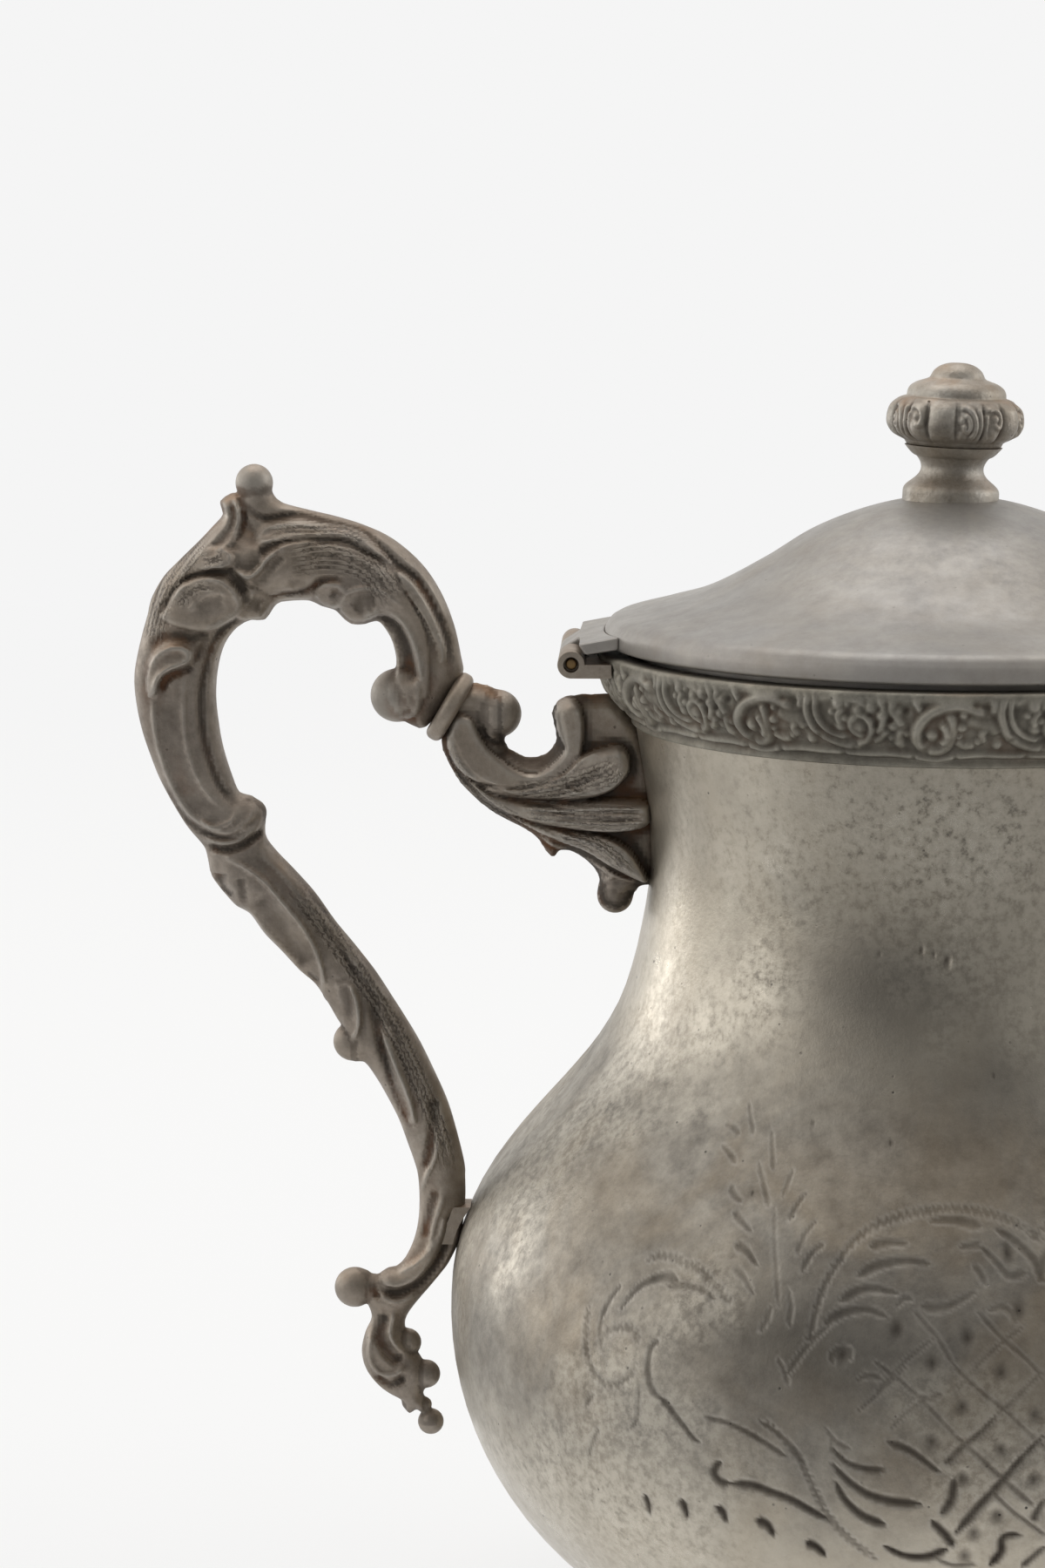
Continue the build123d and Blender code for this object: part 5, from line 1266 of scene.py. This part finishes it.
# Bracket: a flat scroll whose lower part spreads into three ribbed leaves against the neck, cast and
# soldered on, with a ball above and one below.
BRACKET_EDGE = [(523, 790), (545, 785), (575, 800), (580, 853), (589, 863), (602, 870), (616, 870),
    (626.5, 866), (634.5, 858), (638.5, 850), (636, 837), (633, 820.5), (637, 810), (648, 802),
    (664, 799), (680, 799), (706, 799), (730, 825), (745, 855), (755, 893), (759, 930), (760, 960),
    (757, 1014), (748, 1019), (735, 1020), (727, 1030), (712, 1044), (695, 1040), (686, 1026),
    (687, 1008), (677, 995), (664, 984), (651, 979), (641, 979), (638, 985), (631, 985), (622, 973),
    (616, 964), (602, 954.5), (584, 945), (565, 934), (546, 920), (530, 904), (519, 887.5), (511, 871),
    (505, 852), (512, 812)]
# Lobes: height at the left and right end, width of the rounded edge, outline in pixels
BRACKET_LOBES = [
    (4.2, 4.2, 0.65, [(512, 848), (522, 824), (540, 826), (552, 848), (566, 866), (590, 884), (612, 890),
     (634, 880), (648, 862), (640, 845), (637, 822), (642, 808), (656, 804), (668, 814), (671, 842),
     (667, 872), (655, 884), (637, 897), (600, 906), (560, 904), (530, 890), (515, 868)]),
    (3.6, 6.6, 1.6, [(560, 900), (600, 898), (640, 890), (664, 870), (690, 860), (714, 857), (723, 872),
     (722, 888), (708, 905), (688, 916), (662, 922), (630, 922), (590, 920), (556, 912)]),
    (3.4, 7.3, 1.3, [(540, 900), (580, 918), (620, 924), (660, 921), (705, 918), (742, 921), (749, 938),
     (738, 951), (700, 957), (650, 953), (600, 944), (556, 922)]),
    (3.2, 7.2, 1.3, [(560, 922), (600, 944), (650, 955), (692, 960), (720, 974), (738, 998), (744, 1014),
     (728, 1010), (700, 996), (672, 980), (640, 968), (600, 950)]),
]
# Strokes: half width, height or depth, pixels
BRACKET_LINES = [
    (0.34, 0.6, [(590, 952), (620, 966), (650, 980), (682, 996), (712, 1010), (742, 1017)]),
    (0.34, 0.5, [(565, 905), (600, 912), (640, 906), (672, 912), (700, 906), (720, 888), (722, 870),
     (708, 858)]),
    (0.28, 0.5, [(690, 862), (668, 872), (652, 888), (630, 900)]),
    (0.65, -0.5, [(690, 884), (672, 896), (640, 912)]),
    (0.26, 0.55, [(600, 930), (650, 930), (700, 927), (744, 925)]),
    (0.26, 0.55, [(605, 936), (655, 938), (700, 936), (746, 934)]),
    (0.26, 0.6, [(610, 941), (660, 945), (705, 945), (748, 941)]),
    (0.26, 0.55, [(620, 945), (665, 952), (705, 953), (738, 948)]),
    (0.31, 0.6, [(660, 955), (694, 962), (720, 976), (736, 998), (743, 1013)]),
    (0.26, 0.4, [(640, 958), (680, 968), (708, 984), (728, 1004)]),
    (0.26, -0.5, [(585, 936), (620, 953), (660, 967), (700, 988)]),
    (0.23, -0.35, [(510, 855), (518, 880), (536, 903), (562, 924)]),
    (0.23, -0.35, [(514, 850), (524, 878), (543, 900), (570, 918)]),
    (0.23, -0.35, [(519, 848), (530, 874), (550, 895), (580, 911)]),
    (0.39, -0.6, [(578, 858), (560, 852), (551, 838)]),
    (0.26, 0.3, [(578, 872), (600, 886), (622, 886), (642, 870), (648, 854)]),
    (0.26, 0.5, [(690, 1004), (694, 1014), (706, 1008)]),
    (0.31, -0.6, [(612, 962), (625, 972), (636, 980)]),
]
# Finely lined places and balls, as on the grip
BRACKET_MILLED = [
    (2.1, [(585, 915), (640, 905), (690, 890), (715, 876)]),
    (2.1, [(600, 932), (680, 938), (740, 936)]),
    (1.3, [(640, 958), (690, 972), (725, 1000)]),
    (1.2, [(510, 858), (524, 888), (556, 922), (610, 955)]),
]
BRACKET_BALLS = [(571, 821, 3.6, 0.95), (706, 1030, 2.7, 0.9)]
BRACKET_BOX = ((-80.0, 107.0), (-42.0, 156.0))  # lowest and highest X and height of its mesh
BRACKET_THICK = 8.6         # its largest half thickness
BRACKET_PLATE = 2.7         # half thickness of the plate between the leaves
BRACKET_RIM = 2.2           # width over which the edge of the leaves is rounded off
BRACKET_EDGE_Y = -2.0       # where the pixels of the outline and of the strokes are taken to lie
BRACKET_FACE_Y = -5.0
bracket_edge = on_plane(BRACKET_EDGE, BRACKET_EDGE_Y)
bracket_loop = flow(bracket_edge + bracket_edge[:1], 1.0)[:-1]
bracket_lobes, bracket_lines, bracket_milled = [placed(g, BRACKET_FACE_Y)
                                                for g in (BRACKET_LOBES, BRACKET_LINES, BRACKET_MILLED)]


def bracket_height(x, z):
    """Half thickness of the bracket: a plate, with leaves that rise toward the neck."""
    edge = inside_gap(x, z, bracket_loop)
    full = np.minimum(edge, BRACKET_PLATE)
    square = full * (2 * BRACKET_PLATE - full)
    half = np.sqrt(np.maximum(square, 0))
    for start, end, soft_edge, line in bracket_lobes:
        loop = flow(line + line[:1], 0.8)[:-1]
        gap = np.clip(inside_gap(x, z, loop), 0, soft_edge) / soft_edge
        share = np.clip((x - loop[:, 0].min()) / np.ptp(loop[:, 0]), 0, 1)
        top = start + (end - start) * share ** 1.5
        half = np.where(gap > 0, np.maximum(half, top * (0.55 + 0.45 * np.sqrt(gap * (2 - gap)))), half)
    half += modelled(x, z, bracket_lines) * np.clip(edge / 0.6, 0, 1)
    half = np.maximum(half, 0.25)
    near_edge = np.sqrt(np.clip(edge * (2 * BRACKET_RIM - edge), 0, None) / BRACKET_RIM ** 2)
    half = np.where(edge < BRACKET_RIM, half * near_edge, half)
    return square, np.full(x.shape, 4.0), half


bracket = casting("bracket", BRACKET_BOX[0], BRACKET_BOX[1], BRACKET_THICK, bracket_height,
                  placed_balls(BRACKET_BALLS, BRACKET_EDGE_Y), bracket_milled, cast)
settle(bracket, "pot", "handle_bracket")

# Hinge leaf of the pot: a thick plate soldered on the rim band, its two outer knuckles bored for the
# pin. The bores open out at their ends, and the edges are worn round.
HINGE = (-55.7, 156.7)      # X and height of the pin's axis
BORE_R = 0.85
BORE_MOUTH_R = 1.3
KNUCKLE_END = 14.5          # distance from the middle beyond which the bores open out


def rounded_copy(node, name, edge, finish, spare=1.2, end=None):
    """The form of a CAD node with its sharp edges worn round; bores open out at their ends."""
    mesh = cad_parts[node].data.copy()
    mesh.name = name
    made = bpy.data.objects.new(name, mesh)
    bpy.context.scene.collection.objects.link(made)
    form = bmesh.new()
    form.from_mesh(mesh)
    bmesh.ops.remove_doubles(form, verts=form.verts, dist=0.005 * MM)
    bmesh.ops.dissolve_limit(form, angle_limit=radians(1), verts=form.verts, edges=form.edges)
    sharp = [e for e in form.edges if len(e.link_faces) == 2 and e.calc_face_angle() > radians(35)
             and all(np.hypot(v.co.x / MM - HINGE[0], v.co.z / MM - HINGE[1]) > spare for v in e.verts)]
    bmesh.ops.bevel(form, geom=sharp, offset=edge * MM, segments=3, profile=0.5, affect="EDGES",
                    clamp_overlap=True)
    for v in form.verts:
        out = Vector((v.co.x / MM - HINGE[0], v.co.z / MM - HINGE[1]))
        if end and abs(v.co.y) / MM > end and out.length < 1.0:
            v.co.x = (HINGE[0] + out.x * BORE_MOUTH_R / BORE_R) * MM
            v.co.z = (HINGE[1] + out.y * BORE_MOUTH_R / BORE_R) * MM
    bmesh.ops.triangulate(form, faces=form.faces)
    form.to_mesh(mesh)
    form.free()
    mesh.materials.clear()
    mesh.materials.append(finish)
    return made


body_leaf = rounded_copy("hinge_body_leaf", "body_leaf", 0.22, cast, end=KNUCKLE_END)
settle(body_leaf, "pot", "hinge_body_leaf")

# Lug: a small cast block that carries the stem of the grip on the belly, soldered to both. It is
# lower than the joint behind the stem and its edges are soft with solder.
LUG_SHARE = 0.62            # height of the block seen, of the joint's height
lug = rounded_copy("handle_lug", "lug", 0.7, cast, spare=0)
lug_top = max(v.co.z for v in lug.data.vertices)
lug.data.transform(Matrix.Translation((0, 0, lug_top)) @ Matrix.Diagonal((1, 1, LUG_SHARE, 1))
                   @ Matrix.Translation((0, 0, -lug_top)))
settle(lug, "pot", "handle_lug")

# Lid: spun from one sheet, domed in a long curve, with a turned edge that hides the joint. It has
# gone dull and a little uneven, and is handled most round the knob.
LID_SHEET = 1.2             # thickness
LID_TOP = 180.4             # height of its middle
# Radius and height of the turned edge, then of the dome
LID_EDGE = [(49.0, 158.4), (50.3, 158.4), (50.9, 158.8), (51.0, 159.6), (50.9, 160.6), (50.35, 161.5),
            (49.3, 162.36)]
LID_DOME = [(44.1, 163.7), (36.2, 166.1), (27.7, 170.7), (20.7, 175.1), (13.7, 178.0), (7.1, 179.7),
            (0.0, LID_TOP)]
LID_ROUND = 192             # points round the lid


def turned(outline, around, uneven=None):
    """Points and quads of a ring of outlines turned about the pot's axis; the last meets the first."""
    outline = np.asarray(outline, float)
    spin = np.arange(around) / around * 2 * np.pi
    r, z, angle = outline[:, :1], outline[:, 1:], spin[None, :]
    shift = uneven(r, z, angle) if uneven else 0
    points = np.stack([-r * np.sin(angle), -r * np.cos(angle), z + shift + 0 * angle], 2).reshape(-1, 3)
    j, i = [g.ravel() for g in np.meshgrid(np.arange(len(outline)), np.arange(around), indexing="ij")]
    up, side = (j + 1) % len(outline) * around, (i + 1) % around
    return points, np.stack([j * around + i, j * around + side, up + side, up + i], 1)


def weld(piece, apart=0.004):
    """Join points that lie together and drop the faces that this closes, then face all sides out."""
    form = bmesh.new()
    form.from_mesh(piece.data)
    bmesh.ops.remove_doubles(form, verts=form.verts, dist=apart * MM)
    bmesh.ops.recalc_face_normals(form, faces=form.faces)
    form.to_mesh(piece.data)
    form.free()
    piece.data.shade_smooth()


def lid_uneven(r, z, angle):
    """Slight waves in the sheet of the lid, none at its edge or under the knob."""
    calm = np.clip((48 - r) / 12, 0, 1) * np.clip((r - 9) / 8, 0, 1)
    return calm * (0.09 * np.sin(2 * angle + 0.08 * r) + 0.05 * np.sin(5 * angle - 0.2 * r + 1))


lid_metal = pewter("lid_pewter", "a19d98", "8e8a86", patches=0.22, rough=0.42, metal=0.6, warm=0.2,
                   grain=0.025)
top_line = flow(LID_EDGE + LID_DOME, 0.7)
top_line[-1] = (0, LID_TOP)
under = top_line[(top_line[:, 1] > 161.5)]
slant = np.gradient(under, axis=0)
slant /= np.hypot(slant[:, 0], slant[:, 1])[:, None]
under = under + np.stack([-slant[:, 1], slant[:, 0]], 1) * LID_SHEET
under[-1, 0] = 0
under = under[(under[:, 0] < 47.6) & (under[:, 0] >= 0)]
section = np.vstack([top_line, under[::-1], [(48.2, 160.6), (48.6, 158.9)]])
points, faces = turned(section, LID_ROUND, lid_uneven)
lid = new_piece("lid", points, faces, lid_metal)
weld(lid)
settle(lid, "lid", "lid_dome")

# Bezel: a short ring soldered inside the lid, which centres it in the neck.
clad("lid_bezel", lid_metal)

# Hinge leaf of the lid: a plate soldered on the turned edge, with the middle knuckle under it, its
# corners rubbed round like the lid itself.
lid_leaf = rounded_copy("hinge_lid_leaf", "lid_leaf", 0.4, lid_metal)
settle(lid_leaf, "lid", "hinge_lid_leaf")

# Hinge pin: brass rod gone brown, its ends sunk in the outer knuckles.
brass = pewter("old_brass", "a8895c", "6b5438", patches=0.0, rough=0.4, metal=0.9, warm=0.3, soil=0.3)
pin = rounded_copy("hinge_pin", "pin", 0.3, brass, spare=0)
settle(pin, "pot", "hinge_pin")

# Finial base: a turned and cast spool that stands on the top of the lid.
rubbed_cast = pewter("rubbed_cast_pewter", "b4afa7", "7b766e", patches=1.0, rough=0.45, metal=0.78, warm=0.4,
                     grain=0.13, soil=0.6)
clad("finial_base", rubbed_cast)

# Knob of the finial: cast in one with its stepped cap. Plain lobes, scrolls and small curls come five
# times round it, and it leans a little toward the spout on its bent stud.
KNOB_REPEATS = 5
KNOB_LEAN = 2.4             # degrees
KNOB_PATTERN_R = 9.6        # radius at which its forms are laid out
KNOB_TURN = 36              # angle of the pattern's start
# Radius and height above the top of the lid: foot, lobed side, stepped cap
KNOB_FOOT = [(0.0, 7.2), (6.6, 7.2), (7.0, 7.4), (7.3, 7.9)]
KNOB_SIDE = [(7.3, 7.9), (9.0, 8.8), (9.9, 10.1), (10.0, 11.4), (9.6, 12.9), (8.6, 13.9), (7.7, 14.3)]
KNOB_CAP = [(7.7, 14.3), (7.3, 14.45), (7.25, 15.0), (6.9, 15.75), (6.0, 16.4), (4.9, 16.8), (4.15, 17.1),
            (3.9, 17.5), (3.5, 18.2), (2.6, 18.9), (1.4, 19.3), (0.0, 19.4)]
# Forms round the knob: half width, height, then degrees round and millimetres up
KNOB_RIDGES = [
    (0.5, 0.55, [(-1, 13.2), (4, 13.4), (9, 12.9), (13, 11.6), (13.5, 9.8), (11, 8.6)]),
    (0.45, 0.5, [(3, 12.2), (7, 11.9), (9, 10.8), (7, 9.8), (4, 10.0), (3.5, 11.0)]),
    (0.45, 0.45, [(17, 13.3), (18.5, 11.4), (18, 9.4), (16, 8.5)]),
    (0.5, 0.5, [(24, 12.9), (30, 13.3), (36, 12.7), (38, 11.4), (35, 10.4), (31, 10.8)]),
    (0.45, 0.4, [(23, 12.4), (22, 10.8), (24, 9.2), (28, 8.5)]),
]
KNOB_LOBES = [(19, 12.5, 1.0), (46, 11, 0.35), (67, 9, 0.6)]    # middle and half width in degrees, height
KNOB_BERRIES = [(1, 11.4, 0.55, 0.4), (32, 11.8, 0.55, 0.4), (30, 9.4, 1.2, 0.35), (2, 9.2, 0.7, 0.35)]

side_line = flow(KNOB_SIDE, 0.18)
cap_line = flow(KNOB_CAP, 0.35)
knob_line = np.vstack([KNOB_FOOT[:-1], side_line, cap_line[1:]])
lobed = np.zeros(len(knob_line), bool)
lobed[len(KNOB_FOOT) - 1:len(KNOB_FOOT) - 1 + len(side_line)] = True
wedge = 360 / KNOB_REPEATS
turns = np.linspace(0, wedge, 73)
ga, gz = np.meshgrid(turns, knob_line[:, 1])
degree = np.degrees(1 / KNOB_PATTERN_R)
bulge = np.zeros(ga.shape)
for middle, half, top in KNOB_LOBES:
    off = (ga - middle + wedge / 2) % wedge - wedge / 2
    bulge = np.maximum(bulge, top * np.sqrt(np.clip(1 - (off / half) ** 2, 0, 1)))
scaled = [(half, top, [((a + KNOB_TURN) / degree, z) for a, z in line]) for half, top, line in KNOB_RIDGES]
dots = [((a + KNOB_TURN) / degree, z, size, top) for a, z, size, top in KNOB_BERRIES]
modelling = relief((ga / degree).ravel(), gz.ravel(), scaled, dots, [], wedge / degree).reshape(ga.shape)
tall = np.clip(np.sin(np.clip((gz - 7.7) / 6.5, 0, 1) * np.pi) * 1.6, 0, 1) * lobed[:, None]
swell = (0.85 * bulge + modelling - 0.75) * tall
knob_r = np.where(lobed[:, None], knob_line[:, :1] + swell, knob_line[:, :1])
spin = np.radians(KNOB_TURN - ga)
points = np.stack([-knob_r * np.sin(spin), -knob_r * np.cos(spin), gz], 2).reshape(-1, 3)
knob = new_piece("finial_head", points, grid_faces(len(knob_line), len(turns)), rubbed_cast)
soft = (0.85 * bulge + modelling) * tall
mean = soft.copy()
for axis in (0, 1):
    mean = sum(np.roll(mean, k, axis) for k in range(-3, 4)) / 7
keep_values(knob, "hollow_soil_and_shade", np.clip((mean - soft) * 2.2 + 0.15, 0, 0.9).ravel() * (tall.ravel() > 0))
keep_values(knob, "ridge_wear_and_glint", np.clip((soft - mean) * 1.5 - 0.1, 0, 0.5).ravel())
repeated(knob, KNOB_REPEATS, rubbed_cast)
lean = Matrix.Translation((0, 0, LID_TOP * MM)) @ Matrix.Rotation(radians(KNOB_LEAN), 4, "Y")
knob.data.transform(lean)
weld(knob)
settle(knob, "lid", "finial_knob")

# Stud, washer and nut: the brass stud comes up through the lid into the knob, and a pewter washer and
# a small brass nut hold it inside the lid.
clad("finial_stud", brass)
clad("finial_washer", lid_metal)
clad("finial_nut", brass)
